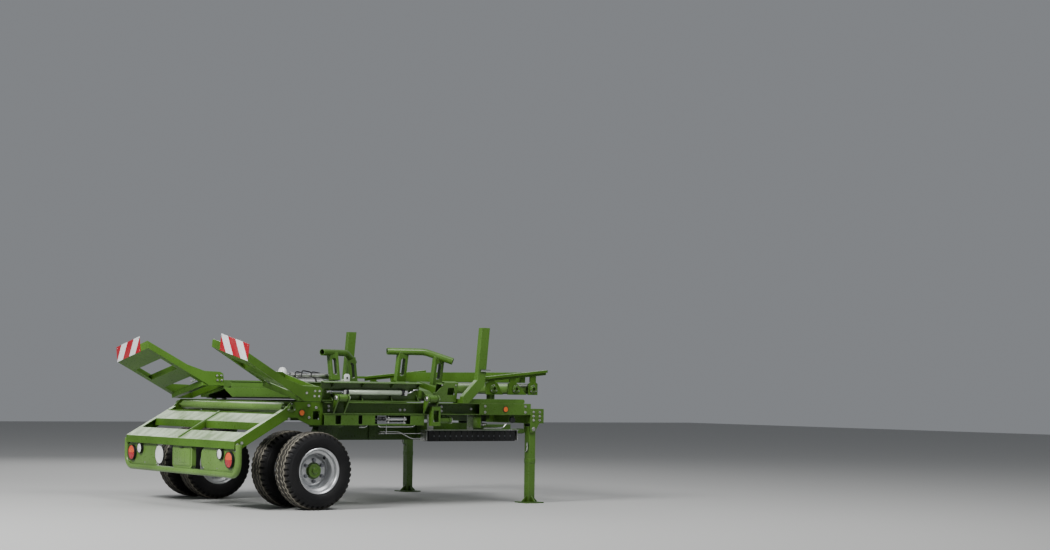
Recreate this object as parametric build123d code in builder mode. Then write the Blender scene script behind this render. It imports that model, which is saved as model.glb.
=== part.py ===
"""A towed bale accumulator, folded for the road.

X points to the machine's right, Y forward to the drawbar, Z up, in millimetres.
The origin lies on the ground at the middle of the outer box.
"""
import math
import os

from build123d import *

# Driving dimensions
twin_spacing = 478.0       # middle of the inner tyre to the middle of the outer tyre
tyre_d = 760.0
tyre_w = 264.0
rim_d = 450.0              # over the flanges of a rim
beam_x = 1200.0            # middle of each main side beam
beam_w = 80.0
beam_h = 118.0
beam_wall = 8.0
beam_rear = 140.0          # beams' rear end, ahead of the axle
beam_front = 2652.0
deck_z = 1048.0            # top of the main side beams
track_inset = 124.0        # inner face of the beams to the kingpins
hinge_out = 60.0           # outer face of the beams to the fold hinges
hinge_rise = 43.0          # top of the beams to the fold hinges
fold_tilt = 11.0           # degrees that a folded platform rises to the middle
platform_w = 690.0
ramp_inset = 28.0          # inner face of the beams to the inner face of a cheek
ramp_wall = 12.0
ramp_tail = 822.0          # axle to the rear edge of the ramps
ramp_tail_z = 665.0
eye_ahead = 3420.0         # axle to the hole of the tow eye
eye_hole_r = 25.5
eye_outer_r = 60.0
board_t = 4.0              # thickness of a warning board

# Clearances
fit = 0.3                  # a pin in its bore
gap = 8.0                  # moving pieces side by side
over = 20.0                # cutters run past by this much

# Places that follow from them
beam_bottom = deck_z - beam_h
beam_in = beam_x - beam_w / 2
beam_out = beam_x + beam_w / 2
track_half = beam_in - track_inset
hinge_x = beam_out + hinge_out
hinge_z = deck_z + hinge_rise
ramp_in = beam_in + ramp_inset
ramp_half = ramp_in + ramp_wall
rear_reach = ramp_tail + board_t
front_reach = eye_ahead + eye_outer_r
axle_y = (rear_reach - front_reach) / 2

os.makedirs("parts", exist_ok=True)


def keep(shape, name):
    """Label a finished piece and write it."""
    shape.label = name
    export_step(shape, f"parts/{name}.step")


def keep_pair(shape, name):
    """Write a right-hand piece and its mirror image."""
    keep(mirror(shape, about=Plane.YZ), f"{name}_left")
    keep(shape, f"{name}_right")


def side(x):
    """Side view at x: sketch points are (distance ahead of the axle, height)."""
    return Plane(origin=(x, axle_y, 0), x_dir=(0, 1, 0), z_dir=(1, 0, 0))


def across(y):
    """Cross section at y ahead of the axle: sketch points are (x, height)."""
    return Plane(origin=(0, axle_y + y, 0), x_dir=(1, 0, 0), z_dir=(0, -1, 0))


def above(z):
    """Plan at height z: sketch points are (x, distance ahead of the axle)."""
    return Plane(origin=(0, axle_y, z), x_dir=(1, 0, 0), z_dir=(0, 0, 1))


def plate(plane, points, thickness, mode=Mode.ADD):
    """Extrude a closed outline by its thickness along the plane's normal."""
    with BuildSketch(plane) as outline:
        with BuildLine():
            Polyline(*points, close=True)
        make_face()
    extrude(outline.sketch, amount=thickness, mode=mode)


def oval(plane, centre, width, height, thickness, mode=Mode.ADD):
    """Extrude a slot shape with round ends by its thickness along the plane's normal."""
    long = max(width, height)
    short = min(width, height)
    with BuildSketch(plane) as outline:
        with Locations(centre):
            SlotOverall(long, short, rotation=0 if width > height else 90)
    extrude(outline.sketch, amount=thickness, mode=mode)


def block(x, y, z, mode=Mode.ADD):
    """A box between pairs of limits, y counted from the axle."""
    with Locations(((x[0] + x[1]) / 2, axle_y + (y[0] + y[1]) / 2, (z[0] + z[1]) / 2)):
        Box(x[1] - x[0], y[1] - y[0], z[1] - z[0], mode=mode)


def rod(start, end, radius, mode=Mode.ADD):
    """A round bar between two points, y counted from the axle."""
    first = Vector(start[0], axle_y + start[1], start[2])
    last = Vector(end[0], axle_y + end[1], end[2])
    with BuildSketch(Plane(origin=first, z_dir=last - first)) as section:
        Circle(radius)
    extrude(section.sketch, amount=(last - first).length, mode=mode)


# Main frame: channels that open outwards, boxed in at their front ends
boxed_rear = 1990.0
beam_channel = (
    (beam_in, beam_bottom), (beam_out, beam_bottom), (beam_out, beam_bottom + beam_wall),
    (beam_in + beam_wall, beam_bottom + beam_wall), (beam_in + beam_wall, deck_z - beam_wall),
    (beam_out, deck_z - beam_wall), (beam_out, deck_z), (beam_in, deck_z),
)
with BuildPart() as side_beams:
    plate(across(beam_rear), beam_channel, -(beam_front - beam_rear))
    block((beam_out - beam_wall, beam_out), (boxed_rear, beam_front), (beam_bottom, deck_z))
    mirror(about=Plane.YZ)
keep(side_beams.part, "side_beams")

# Lower channels under the beams, with windows in their outer walls
lower_h = 110.0
lower_bottom = beam_bottom - lower_h
lower_out = beam_out - beam_wall
lower_front = 1310.0
slot_margin = 12.0
slot_rears = (268.0, 531.0, 725.0)
slot_lengths = (62.0, 45.0, 420.0)
with BuildPart() as lower_channels:
    block((beam_in, lower_out), (beam_rear, lower_front), (lower_bottom, beam_bottom))
    block((beam_in + beam_wall, lower_out - beam_wall), (beam_rear - over, lower_front + over),
          (lower_bottom + beam_wall, beam_bottom - beam_wall), mode=Mode.SUBTRACT)
    for slot_rear, slot_length in zip(slot_rears, slot_lengths):
        block((lower_out - beam_wall - slot_margin, lower_out + over), (slot_rear, slot_rear + slot_length),
              (lower_bottom + slot_margin, beam_bottom - slot_margin), mode=Mode.SUBTRACT)
    mirror(about=Plane.YZ)
keep(lower_channels.part, "lower_channels")

# Cross members between the beams, each a square tube
cross_w = 80.0
cross_share = (0.02, 0.27, 0.5, 0.75, 0.965)
cross_ys = [beam_rear + share * (beam_front - beam_rear - cross_w) for share in cross_share]
with BuildPart() as cross_members:
    for cross_y in cross_ys:
        block((-beam_in, beam_in), (cross_y, cross_y + cross_w), (beam_bottom, beam_bottom + cross_w))
keep(cross_members.part, "cross_members")

# Bale deck: a sheet on the cross members with slide bars along it
deck_under = beam_bottom + cross_w
sheet_t = 4.0
bar_w = 60.0
bar_h = 20.0
bar_count = 7
deck_in = beam_in - sheet_t
deck_rear = beam_rear
deck_front = 2060.0
with BuildPart() as bale_deck:
    block((-deck_in, deck_in), (deck_rear, deck_front), (deck_under, deck_under + sheet_t))
    for bar in range(bar_count):
        bar_x = (2 * bar / (bar_count - 1) - 1) * (deck_in - bar_w)
        block((bar_x - bar_w / 2, bar_x + bar_w / 2), (deck_rear, deck_front),
              (deck_under + sheet_t, deck_under + sheet_t + bar_h))
keep(bale_deck.part, "bale_deck")

# Wheels: a tyre on a rim with a drop centre and a dished disc
axle_z = tyre_d / 2
tyre_r = tyre_d / 2
tyre_half = tyre_w / 2
rim_half = 118.0           # middle of a wheel to the outer face of a flange
flange_t = 10.0
flange_h = 20.0
flange_r = rim_d / 2
seat_r = flange_r - flange_h
drop_half = 62.0
drop_r = 178.0
rim_t = 10.0
disc_t = 10.0
disc_out = 38.0            # the raised middle of the disc to its rim
face_r = 128.0
hub_r = 70.0
bead = rim_half - flange_t
wall_r = flange_r + flange_h * 2
shoulder_r = tyre_r - flange_h - rim_t
tread_half = tyre_half - flange_h * 2
crown_half = tread_half * 0.6
wheel_signs = (("inner", -1), ("outer", 1))
for place, sign in wheel_signs:
    wheel_x = track_half + sign * twin_spacing / 2
    wheel_plane = Plane(origin=(wheel_x, axle_y, axle_z), x_dir=(0, 0, 1), z_dir=(0, 1, 0))
    half_profile = (
        (seat_r, bead), (flange_r, bead), (wall_r, tyre_half - rim_t / 2), (wall_r + flange_h * 2, tyre_half),
        (shoulder_r, tyre_half - rim_t), (tyre_r - rim_t, tread_half), (tyre_r, crown_half),
    )
    with BuildPart() as tyre:
        with BuildSketch(wheel_plane):
            with BuildLine():
                Polyline(*half_profile, *((r, -x) for r, x in reversed(half_profile)), close=True)
            make_face()
        revolve(axis=Axis((wheel_x, axle_y, axle_z), (1, 0, 0)))
    keep_pair(tyre.part, f"tyre_{place}")
    rim_profile = (
        (flange_r, -rim_half), (flange_r, -bead), (seat_r, -bead), (seat_r, -drop_half),
        (drop_r, -drop_half + rim_t), (drop_r, drop_half - rim_t), (seat_r, drop_half), (seat_r, bead),
        (flange_r, bead), (flange_r, rim_half), (seat_r - rim_t, rim_half), (seat_r - rim_t, drop_half + rim_t),
        (drop_r - rim_t, drop_half), (drop_r - rim_t, disc_out + disc_t), (face_r, disc_t), (hub_r, disc_t),
        (hub_r, 0), (face_r, 0), (drop_r - rim_t, disc_out), (drop_r - rim_t, -drop_half),
        (seat_r - rim_t, -drop_half - rim_t), (seat_r - rim_t, -rim_half),
    )
    with BuildPart() as rim:
        with BuildSketch(wheel_plane):
            with BuildLine():
                Polyline(*((r, -sign * x) for r, x in rim_profile), close=True)
            make_face()
        revolve(axis=Axis((wheel_x, axle_y, axle_z), (1, 0, 0)))
    keep_pair(rim.part, f"rim_{place}")

# Hubs: a cap, a flange and a barrel for each wheel, joined by the turning spindle
leg_w = 110.0
sleeve_in = track_half - leg_w / 2 - gap
sleeve_out = track_half + leg_w / 2 + gap
stub_r = 32.0
barrel_r = 55.0
cap_out = 26.0
hub_flange_r = 115.0
hub_flange_t = 16.0
with BuildPart() as hub:
    for sign, sleeve in ((-1, sleeve_in), (1, sleeve_out)):
        wheel_x = track_half + sign * twin_spacing / 2
        flange_x = wheel_x - sign * disc_t
        rod((wheel_x + sign * cap_out, 0, axle_z), (flange_x, 0, axle_z), hub_r - fit)
        rod((flange_x, 0, axle_z), (flange_x - sign * hub_flange_t, 0, axle_z), hub_flange_r)
        rod((flange_x - sign * hub_flange_t, 0, axle_z), (sleeve, 0, axle_z), barrel_r)
    rod((sleeve_in, 0, axle_z), (sleeve_out, 0, axle_z), stub_r)
keep_pair(hub.part, "hub")

# Turntables: plates welded to the lower channels, each with a bore for a kingpin
kingpin_y = 280.0
kingpin_r = 30.0
head_r = 170.0
head_t = 20.0
table_t = 16.0
table_half = 120.0
with BuildPart() as turntables:
    block((track_half - table_half, beam_in), (beam_rear, kingpin_y + head_r + gap),
          (lower_bottom, lower_bottom + table_t))
    rod((track_half, kingpin_y, lower_bottom - over), (track_half, kingpin_y, beam_bottom),
        kingpin_r + fit, mode=Mode.SUBTRACT)
    mirror(about=Plane.YZ)
keep(turntables.part, "turntables")

# Castor legs: a turning head, a raked arm between the tyres and the axle sleeve
head_top = lower_bottom - fit
sleeve_r = 70.0
arm_d = 120.0
with BuildPart() as castor_leg:
    rod((track_half, kingpin_y, head_top - head_t), (track_half, kingpin_y, head_top), head_r)
    rod((track_half, kingpin_y, head_top - head_t), (track_half, kingpin_y, lower_bottom + table_t), kingpin_r)
    arm = (
        (kingpin_y - arm_d, head_top - head_t), (kingpin_y + arm_d, head_top - head_t),
        (kingpin_y + arm_d / 2, head_top - head_r), (0, axle_z - sleeve_r),
        (-sleeve_r, axle_z), (0, axle_z + sleeve_r),
    )
    plate(side(track_half - leg_w / 2), arm, leg_w)
    rod((track_half - leg_w / 2, 0, axle_z), (track_half + leg_w / 2, 0, axle_z), sleeve_r)
    rod((track_half - leg_w, 0, axle_z), (track_half + leg_w, 0, axle_z), stub_r + fit, mode=Mode.SUBTRACT)
keep_pair(castor_leg.part, "castor_leg")

# Centre ramp: two flanged cheeks, two cross boards and a bar along the middle
ramp_top = 290.0           # axle to the top of the slope
ramp_top_z = 971.0
rail_d = 115.0             # height of a cheek along the slope
rail_flange = 55.0
tail_drop = 75.0
arch_y = (-264.0, -120.0)  # opening over the inner tyres
arch_z = 870.0
arch_rise = 22.0
cheek_hole_y = (30.0, 105.0)
cheek_hole_z = (876.0, 958.0)
roller_y = -214.0
roller_z = 990.0
roller_r = 45.0
shaft_r = 15.0
roller_side = 108.0        # cheek to the end of the roller
ramp_slope = (ramp_top_z - ramp_tail_z) / (ramp_tail - ramp_top)
ramp_turn = -ramp_tail / 2
ramp_crank = 42.0          # length of each half of the step at the top of the slope
board_skin = 6.0
board_flange = 75.0
board_run = 145.0
board_ys = (-ramp_tail, -516.0)
spine_half = 18.0
spine_d = 60.0
strip_t = 8.0


def ramp_height(y):
    """Height of the centre ramp's sliding line at y."""
    return ramp_tail_z + ramp_slope * (y + ramp_tail)


def ramp_reach(z):
    """The y at which the sliding line is at height z."""
    return (z - ramp_tail_z) / ramp_slope - ramp_tail


cheek = (
    (-ramp_tail, ramp_tail_z), (-ramp_top, ramp_top_z), (-ramp_top + ramp_crank, (ramp_top_z + deck_z) / 2),
    (-ramp_top + 2 * ramp_crank, deck_z), (beam_rear, deck_z),
    (beam_rear, lower_bottom), (0, lower_bottom), (arch_y[1], arch_z), (arch_y[1] - arch_rise, arch_z + arch_rise),
    (arch_y[0] + arch_rise, arch_z + arch_rise), (arch_y[0], arch_z), (ramp_turn, ramp_height(ramp_turn) - rail_d),
    (-ramp_tail + tail_drop, ramp_height(-ramp_tail + tail_drop) - rail_d),
    (-ramp_tail, ramp_tail_z - tail_drop),
)
roller_gap = roller_r + gap
with BuildPart() as centre_ramp:
    plate(side(ramp_in), cheek, ramp_wall)
    block((ramp_in - over, ramp_half + over), cheek_hole_y, cheek_hole_z, mode=Mode.SUBTRACT)
    flange = (
        (-ramp_tail, ramp_tail_z), (-ramp_top, ramp_top_z), (-ramp_top, ramp_top_z - strip_t),
        (-ramp_tail, ramp_tail_z - strip_t),
    )
    plate(side(ramp_in - rail_flange), flange, rail_flange)
    mirror(about=Plane.YZ)
    for board_y in board_ys:
        fold = (
            (board_y, ramp_height(board_y) - board_flange), (board_y, ramp_height(board_y)),
            (board_y + board_run, ramp_height(board_y + board_run)),
            (board_y + board_run, ramp_height(board_y + board_run) - board_skin * 2),
            (board_y + board_skin, ramp_height(board_y + board_skin) - board_skin * 2),
            (board_y + board_skin, ramp_height(board_y) - board_flange),
        )
        plate(side(-ramp_in), fold, 2 * ramp_in)
    spine_front = ramp_reach(roller_z - roller_r - gap)
    spine = (
        (-ramp_tail, ramp_tail_z), (spine_front, ramp_height(spine_front)),
        (spine_front, ramp_height(spine_front) - spine_d), (-ramp_tail, ramp_tail_z - spine_d),
    )
    plate(side(-spine_half), spine, 2 * spine_half)
    block((-ramp_in, ramp_in), (spine_front - strip_t, spine_front + strip_t),
          (ramp_height(spine_front) - spine_d, ramp_height(spine_front)))
    block((-ramp_in, ramp_in), (roller_y + roller_gap, roller_y + roller_gap + strip_t * 3),
          (deck_z - board_flange, deck_z))
    rod((-ramp_half - over, roller_y, roller_z), (ramp_half + over, roller_y, roller_z),
        shaft_r + fit, mode=Mode.SUBTRACT)
keep(centre_ramp.part, "centre_ramp")

# Rear roller between the cheeks
roller_half = ramp_in - roller_side
with BuildPart() as rear_roller:
    rod((-roller_half, roller_y, roller_z), (roller_half, roller_y, roller_z), roller_r)
    rod((-ramp_half, roller_y, roller_z), (ramp_half, roller_y, roller_z), shaft_r)
keep(rear_roller.part, "rear_roller")

# Bumper tube, its lamp panels and the box between them
bumper_r = 30.0
bumper_half = ramp_half + bumper_r + fit
bumper_z = 340.0
bumper_y = -ramp_tail + bumper_r
bumper_bend = 120.0
panel_t = 5.0
panel_w = 740.0
panel_round = bumper_bend - bumper_r
bumper_top = ramp_tail_z - bumper_r
panel_top = ramp_tail_z - board_flange
panel_y = bumper_y - panel_t / 2
with BuildPart() as bumper:
    with BuildLine():
        FilletPolyline(
            (-bumper_half, axle_y + bumper_y, bumper_top), (-bumper_half, axle_y + bumper_y, bumper_z),
            (bumper_half, axle_y + bumper_y, bumper_z), (bumper_half, axle_y + bumper_y, bumper_top),
            radius=bumper_bend)
    with BuildSketch(Plane(origin=(-bumper_half, axle_y + bumper_y, bumper_top), z_dir=(0, 0, -1))):
        Circle(bumper_r)
    sweep()
keep(bumper.part, "bumper")

box_x = 55.0
box_half = 215.0
box_depth = 45.0
box_round = 40.0
box_low = bumper_z + bumper_r
with BuildPart() as tail_box:
    with BuildSketch(across(bumper_y - panel_t)) as outline:
        with Locations((box_x, (box_low + panel_top) / 2)):
            RectangleRounded(2 * box_half, panel_top - box_low, box_round)
    extrude(outline.sketch, amount=-box_depth)
keep(tail_box.part, "tail_box")

panel_out = bumper_half - bumper_r
panel_mid = panel_out - panel_w / 2
with BuildPart() as lamp_panels:
    with BuildSketch(across(panel_y)) as outline:
        with Locations((panel_mid, (box_low + panel_top) / 2)):
            RectangleRounded(panel_w, panel_top - box_low, panel_round)
    extrude(outline.sketch, amount=-panel_t)
    mirror(about=Plane.YZ)
keep(lamp_panels.part, "lamp_panels")

# Lamps: round, the outer pair split between brake red and turning orange
lamp_t = 25.0
lamp_in = 120.0
lamp_r = 72.0
lamp_z = 485.0
small_spacing = 190.0
small_rise = 50.0
small_r = 46.0
lamp_x = panel_out - lamp_in
small_x = lamp_x - small_spacing
lamp_shapes = (
    ("tail_lamps", lamp_x, lamp_z, lamp_r, -1),
    ("turn_lamps", lamp_x, lamp_z, lamp_r, 1),
    ("marker_lamps", small_x, lamp_z + small_rise, small_r, 0),
)                                     # name, x, z, radius, half kept
for name, x, z, r, kept in lamp_shapes:
    with BuildPart() as lamps:
        rod((x, panel_y - lamp_t, z), (x, panel_y, z), r)
        if kept:
            block((x - r, x + r), (panel_y - 2 * lamp_t, panel_y + lamp_t), sorted((z, z - kept * r)),
                  mode=Mode.SUBTRACT)
        mirror(about=Plane.YZ)
    keep(lamps.part, name)

sign_r = 92.0
sign_t = 4.0
sign_x = -(panel_mid - panel_w / 2)
with BuildPart() as round_sign:
    rod((sign_x, panel_y - sign_t, lamp_z), (sign_x, panel_y, lamp_z), sign_r)
keep(round_sign.part, "round_sign")

# Side reflectors on the cheeks and on the boxed ends of the beams
reflector_r = 27.0
reflector_t = 8.0
reflector_seats = ((ramp_half, -ramp_top / 3, deck_z - rail_d + reflector_t),
                   (beam_out, beam_front - (beam_front - boxed_rear) / 2, deck_z - beam_h / 2))
with BuildPart() as side_reflectors:
    for seat_x, seat_y, seat_z in reflector_seats:
        rod((seat_x, seat_y, seat_z), (seat_x + reflector_t, seat_y, seat_z), reflector_r)
    mirror(about=Plane.YZ)
keep(side_reflectors.part, "side_reflectors")

# Fold hinges: pairs of lugs with their pins on the beams, the front ones on a box with a window
hinge_ys = (300.0, 1360.0)
lug_t = 15.0
knuckle_length = 90.0
pin_r = 20.0
lug_r = 36.0
hinge_box_l = 105.0
hinge_box_low = 815.0
hinge_box_top = deck_z - lug_r
hinge_box_t = 10.0
window_margin = 20.0
with BuildPart() as hinge_lugs:
    lug = (
        (beam_out, beam_bottom + beam_wall), (hinge_x + lug_r, hinge_z - lug_r / 2),
        (hinge_x + lug_r, hinge_z + lug_r / 2), (hinge_x + lug_r / 2, hinge_z + lug_r),
        (hinge_x - lug_r / 2, hinge_z + lug_r), (beam_out, deck_z),
    )
    for hinge_y in hinge_ys:
        for end in (hinge_y - knuckle_length / 2 - gap - lug_t, hinge_y + knuckle_length / 2 + gap):
            plate(across(end), lug, -lug_t)
        rod((hinge_x, hinge_y - knuckle_length / 2 - gap - lug_t, hinge_z),
            (hinge_x, hinge_y + knuckle_length / 2 + gap + lug_t, hinge_z), pin_r)
    box_y = (hinge_ys[1], hinge_ys[1] + hinge_box_l)
    box_z = (hinge_box_low, hinge_box_top)
    block((beam_out, hinge_x), box_y, box_z)
    block((beam_out - over, hinge_x - hinge_box_t), (box_y[0] + hinge_box_t, box_y[1] - hinge_box_t),
          (hinge_box_low - over, hinge_box_top + over), mode=Mode.SUBTRACT)
    block((beam_out, hinge_x + over), (box_y[0] + window_margin, box_y[1] - window_margin),
          (box_z[0] + 2 * window_margin, box_z[1] - 2 * window_margin), mode=Mode.SUBTRACT)
    mirror(about=Plane.YZ)
keep(hinge_lugs.part, "hinge_lugs")

# Folded side platforms, drawn in planes that tilt with the fold
tilt_sin = math.sin(math.radians(fold_tilt))
tilt_cos = math.cos(math.radians(fold_tilt))


def fold_side(u):
    """Side view at u in from the hinge: sketch points are (y, height off the platform)."""
    origin = (hinge_x - u * tilt_cos, axle_y, hinge_z + u * tilt_sin)
    return Plane(origin=origin, x_dir=(0, 1, 0), z_dir=(tilt_cos, 0, -tilt_sin))


def fold_across(y):
    """Cross section at y: sketch points are (distance in from the hinge, height)."""
    return Plane(origin=(hinge_x, axle_y + y, hinge_z), x_dir=(-tilt_cos, 0, tilt_sin), z_dir=(0, 1, 0))


def fold_block(u, y, n, mode=Mode.ADD):
    """A box between pairs of limits in the folded platform's own directions."""
    corners = ((u[0], n[0]), (u[1], n[0]), (u[1], n[1]), (u[0], n[1]))
    plate(fold_across(y[0]), corners, y[1] - y[0], mode)


def fold_point(u, y, n):
    """A point of the folded platform, y counted from the axle."""
    return (hinge_x - u * tilt_cos + n * tilt_sin, y, hinge_z + u * tilt_sin + n * tilt_cos)


edge_in = 130.0            # hinge to the web of the platform's edge beam
edge_w = 70.0
edge_low = -48.0
edge_top = 142.0
edge_wall = 6.0
edge_rear = 117.0
edge_break = (1270.0, 1470.0)   # the edge beam stops here for the front hinge arm
platform_rear = 20.0
platform_front = 1700.0
floor_low = -25.0
floor_t = 5.0
arm_top = 55.0
arm_w = 90.0
kerb_low = -145.0
kerb_step = -48.0
kerb_top = 24.0
kerb_w = 50.0
kerb_set = 14.0
kerb_in = platform_w - kerb_w
arm_ys = (hinge_ys[0], 640.0, 1000.0, hinge_ys[1], platform_front - arm_w / 2)
gusset_ys = (234.0, 580.0, 925.0, 1240.0)
gusset_t = 8.0
gusset_d = 54.0
front_top = 158.0
front_rear = 1540.0
front_window = (1578.0, 1668.0)
front_window_n = (30.0, 104.0)
arm_rise = arm_top + edge_wall
edge_out = edge_in - edge_w
with BuildPart() as platform:
    edge = (
        (edge_out, edge_low), (edge_in, edge_low), (edge_in, edge_top), (edge_out, edge_top),
        (edge_out, edge_top - edge_wall), (edge_in - edge_wall, edge_top - edge_wall),
        (edge_in - edge_wall, edge_low + edge_wall), (edge_out, edge_low + edge_wall),
    )
    plate(fold_across(edge_rear), edge, edge_break[0] - edge_rear)
    plate(fold_across(edge_break[1]), edge, platform_front - edge_break[1])
    for gusset_y in gusset_ys:
        for root_n, sign in ((edge_low + edge_wall, 1), (edge_top - edge_wall, -1)):
            gusset = (
                (edge_in - edge_wall, root_n), (edge_out + edge_wall, root_n),
                (edge_in - edge_wall, root_n + sign * gusset_d),
            )
            plate(fold_across(gusset_y), gusset, gusset_t)
    front_plate = (
        (hinge_ys[1] + arm_w / 2, -pin_r), (hinge_ys[1] + arm_w / 2, arm_top), (front_rear - arm_w, arm_rise),
        (front_rear, front_top), (platform_front, front_top), (platform_front, edge_low),
        (edge_break[1], edge_low),
    )
    plate(fold_side(edge_out + edge_wall), front_plate, edge_wall)
    plate(fold_side(edge_out + 2 * edge_wall),
          ((front_window[0], front_window_n[0]), (front_window[1], front_window_n[0]),
           (front_window[1], front_window_n[1]), (front_window[0], front_window_n[1])),
          3 * edge_wall, mode=Mode.SUBTRACT)
    fold_block((edge_out, edge_in), (front_rear, platform_front), (front_top - edge_wall, front_top))
    fold_block((edge_in - edge_wall, edge_in), (front_rear, platform_front), (edge_top - edge_wall, front_top))
    fold_block((edge_in, kerb_in), (edge_rear, platform_front), (floor_low, floor_low + floor_t))
    fold_block((edge_in - edge_wall, edge_in), (edge_break[0], edge_break[1]), (edge_low, floor_low + floor_t))
    fold_block((kerb_in, kerb_in + edge_wall), (edge_rear, platform_front), (kerb_step, kerb_top))
    kerb = ((edge_rear, kerb_low), (platform_front, kerb_low), (platform_front, kerb_step), (platform_rear, kerb_step))
    plate(fold_side(kerb_in + kerb_set + edge_wall), kerb, edge_wall)
    fold_block((kerb_in, kerb_in + kerb_set + edge_wall), (platform_rear, platform_front),
               (kerb_step, kerb_step + edge_wall))
    fold_block((kerb_in - edge_wall, kerb_in + kerb_set), (edge_rear, platform_front), (kerb_top, kerb_top + edge_wall))
    fold_block((kerb_in + kerb_set, kerb_in + kerb_w), (edge_rear, platform_front), (kerb_low, kerb_low + edge_wall))
    fold_block((edge_in - edge_wall, kerb_in + kerb_set), (platform_rear, platform_rear + edge_wall),
               (kerb_step, pin_r))
    fold_block((edge_in - edge_wall, edge_in), (platform_rear, edge_rear), (kerb_step, pin_r))
    for arm_y in arm_ys:
        top = arm_top if arm_y >= hinge_ys[1] else 0
        fold_block((edge_in, kerb_in), (arm_y - arm_w / 2, arm_y + arm_w / 2), (floor_low + floor_t, top))
    for hinge_y in hinge_ys:
        arm_end = arm_top if hinge_y == hinge_ys[1] else pin_r
        tongue = ((0, -pin_r), (edge_in, -pin_r), (edge_in, arm_end), (lug_r, pin_r), (0, pin_r))
        plate(fold_across(hinge_y - knuckle_length / 2), tongue, knuckle_length)
        rod((hinge_x, hinge_y - knuckle_length / 2, hinge_z), (hinge_x, hinge_y + knuckle_length / 2, hinge_z), lug_r)
        rod((hinge_x, hinge_y - knuckle_length, hinge_z), (hinge_x, hinge_y + knuckle_length, hinge_z),
            pin_r + fit, mode=Mode.SUBTRACT)
keep_pair(platform.part, "platform")

# Side ramps at the rear of the platforms: two cranked rails, an end board and a cross board
side_ramp_out = -75.0
side_ramp_in = 672.0
rail_t = 10.0
rail_tail_height = 358.0        # height of the sliding line at the tail
slide_foot = 195.0         # axle to the foot of the sliding line
cheek_top = 124.0
rail_high = 78.0
end_run = 165.0
cross_y = -475.0
cross_run = 140.0
cross_flange = 58.0
foot_tube_d = 62.0
slide_slope = rail_tail_height / (ramp_tail - slide_foot)
rail_front = platform_rear - fit


def slide_height(y):
    """Height off the folded platform of the side ramp's sliding line at y."""
    return slide_slope * (-slide_foot - y)


side_cheek = (
    (rail_front, edge_low / 2), (rail_front, cheek_top - pin_r), (rail_front - lug_r, cheek_top),
    (-slide_foot, cheek_top + edge_wall), (-2 * slide_foot, slide_height(-2 * slide_foot) + rail_high + edge_wall),
    (-ramp_tail, rail_tail_height + rail_high), (-ramp_tail, rail_tail_height), (-slide_foot, 0),
    (-slide_foot + lug_r, edge_low / 2),
)
ladder = (side_ramp_out + rail_t, side_ramp_in - rail_t)
with BuildPart() as side_ramp:
    for u in (ladder[0], side_ramp_in):
        plate(fold_side(u), side_cheek, rail_t)
    rail_lip = (
        (-ramp_tail, rail_tail_height), (-slide_foot, 0), (-slide_foot, board_skin),
        (-ramp_tail, rail_tail_height + board_skin),
    )
    for u in (ladder[0] + rail_flange, ladder[1]):
        plate(fold_side(u), rail_lip, rail_flange)
    for board_y, run, flange in ((-ramp_tail, end_run, rail_high), (cross_y, cross_run, cross_flange)):
        board = (
            (board_y, slide_height(board_y)), (board_y, slide_height(board_y) + flange),
            (board_y + board_skin, slide_height(board_y) + flange),
            (board_y + board_skin, slide_height(board_y + board_skin) + board_skin * 2),
            (board_y + run, slide_height(board_y + run) + board_skin * 2), (board_y + run, slide_height(board_y + run)),
        )
        plate(fold_side(ladder[1]), board, ladder[1] - ladder[0])
    fold_block(ladder, (-slide_foot - foot_tube_d / 2, -slide_foot + foot_tube_d / 2),
               (edge_low / 2, foot_tube_d + edge_low / 2))
    fold_block(ladder, (rail_front - edge_wall, rail_front), (edge_low / 2, cheek_top - pin_r))
keep_pair(side_ramp.part, "side_ramp")

# Warning boards on the ends of the side ramps
warn_w = 570.0
warn_h = 160.0
with BuildPart() as warning_board:
    fold_block((side_ramp_out, side_ramp_out + warn_w), (-ramp_tail - board_t, -ramp_tail),
               (rail_tail_height, rail_tail_height + warn_h))
keep_pair(warning_board.part, "warning_board")

# Bale guides: a bent tube on two slotted brackets at the front of each platform
guide_r = 36.0
guide_bend = 150.0
guide_bore = 60.0
guide_wall = 5.0
guide_xs = (660.0, 790.0, 985.0)
guide_ys = (1217.0, 1600.0, 1820.0)
guide_zs = (1575.0, 1575.0, 1480.0)
guide = tuple(zip(guide_xs, guide_ys, guide_zs))
bracket_t = 60.0
bracket_w = 110.0
bracket_places = ((guide[0], guide[1], 0.42), (guide[1], guide[2], 0.5))     # from, to, share of the way
with BuildPart() as bale_guide:
    path = [(x, axle_y + y, z) for x, y, z in guide]
    with BuildLine():
        FilletPolyline(*path, radius=guide_bend)
    with BuildSketch(Plane(origin=path[0], z_dir=Vector(*path[1]) - Vector(*path[0]))):
        Circle(guide_r)
    sweep()
    for start, end, share in bracket_places:
        top = [a + share * (b - a) for a, b in zip(start, end)]
        top_n = (top[2] - hinge_z) * tilt_cos + (top[0] - hinge_x) * tilt_sin
        top_u = (top[2] - hinge_z) * tilt_sin - (top[0] - hinge_x) * tilt_cos
        half = bracket_w / 2
        plank = (
            (top[1] - half, arm_top), (top[1] + half, arm_top), (top[1] + half, top_n), (top[1] - half, top_n),
        )
        plate(fold_side(top_u + bracket_t / 2), plank, bracket_t)
        slot_n = (arm_top + half, top_n - guide_r - half / 2)
        oval(fold_side(top_u + bracket_t), (top[1], sum(slot_n) / 2), half, slot_n[1] - slot_n[0],
             2 * bracket_t, mode=Mode.SUBTRACT)
    for end, beyond in ((guide[0], guide[1]), (guide[2], guide[1])):
        inward = Vector(*beyond) - Vector(*end)
        bore_end = Vector(*end) + inward.normalized() * guide_bore
        rod(end, tuple(bore_end), guide_r - guide_wall, mode=Mode.SUBTRACT)
keep_pair(bale_guide.part, "bale_guide")

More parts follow.
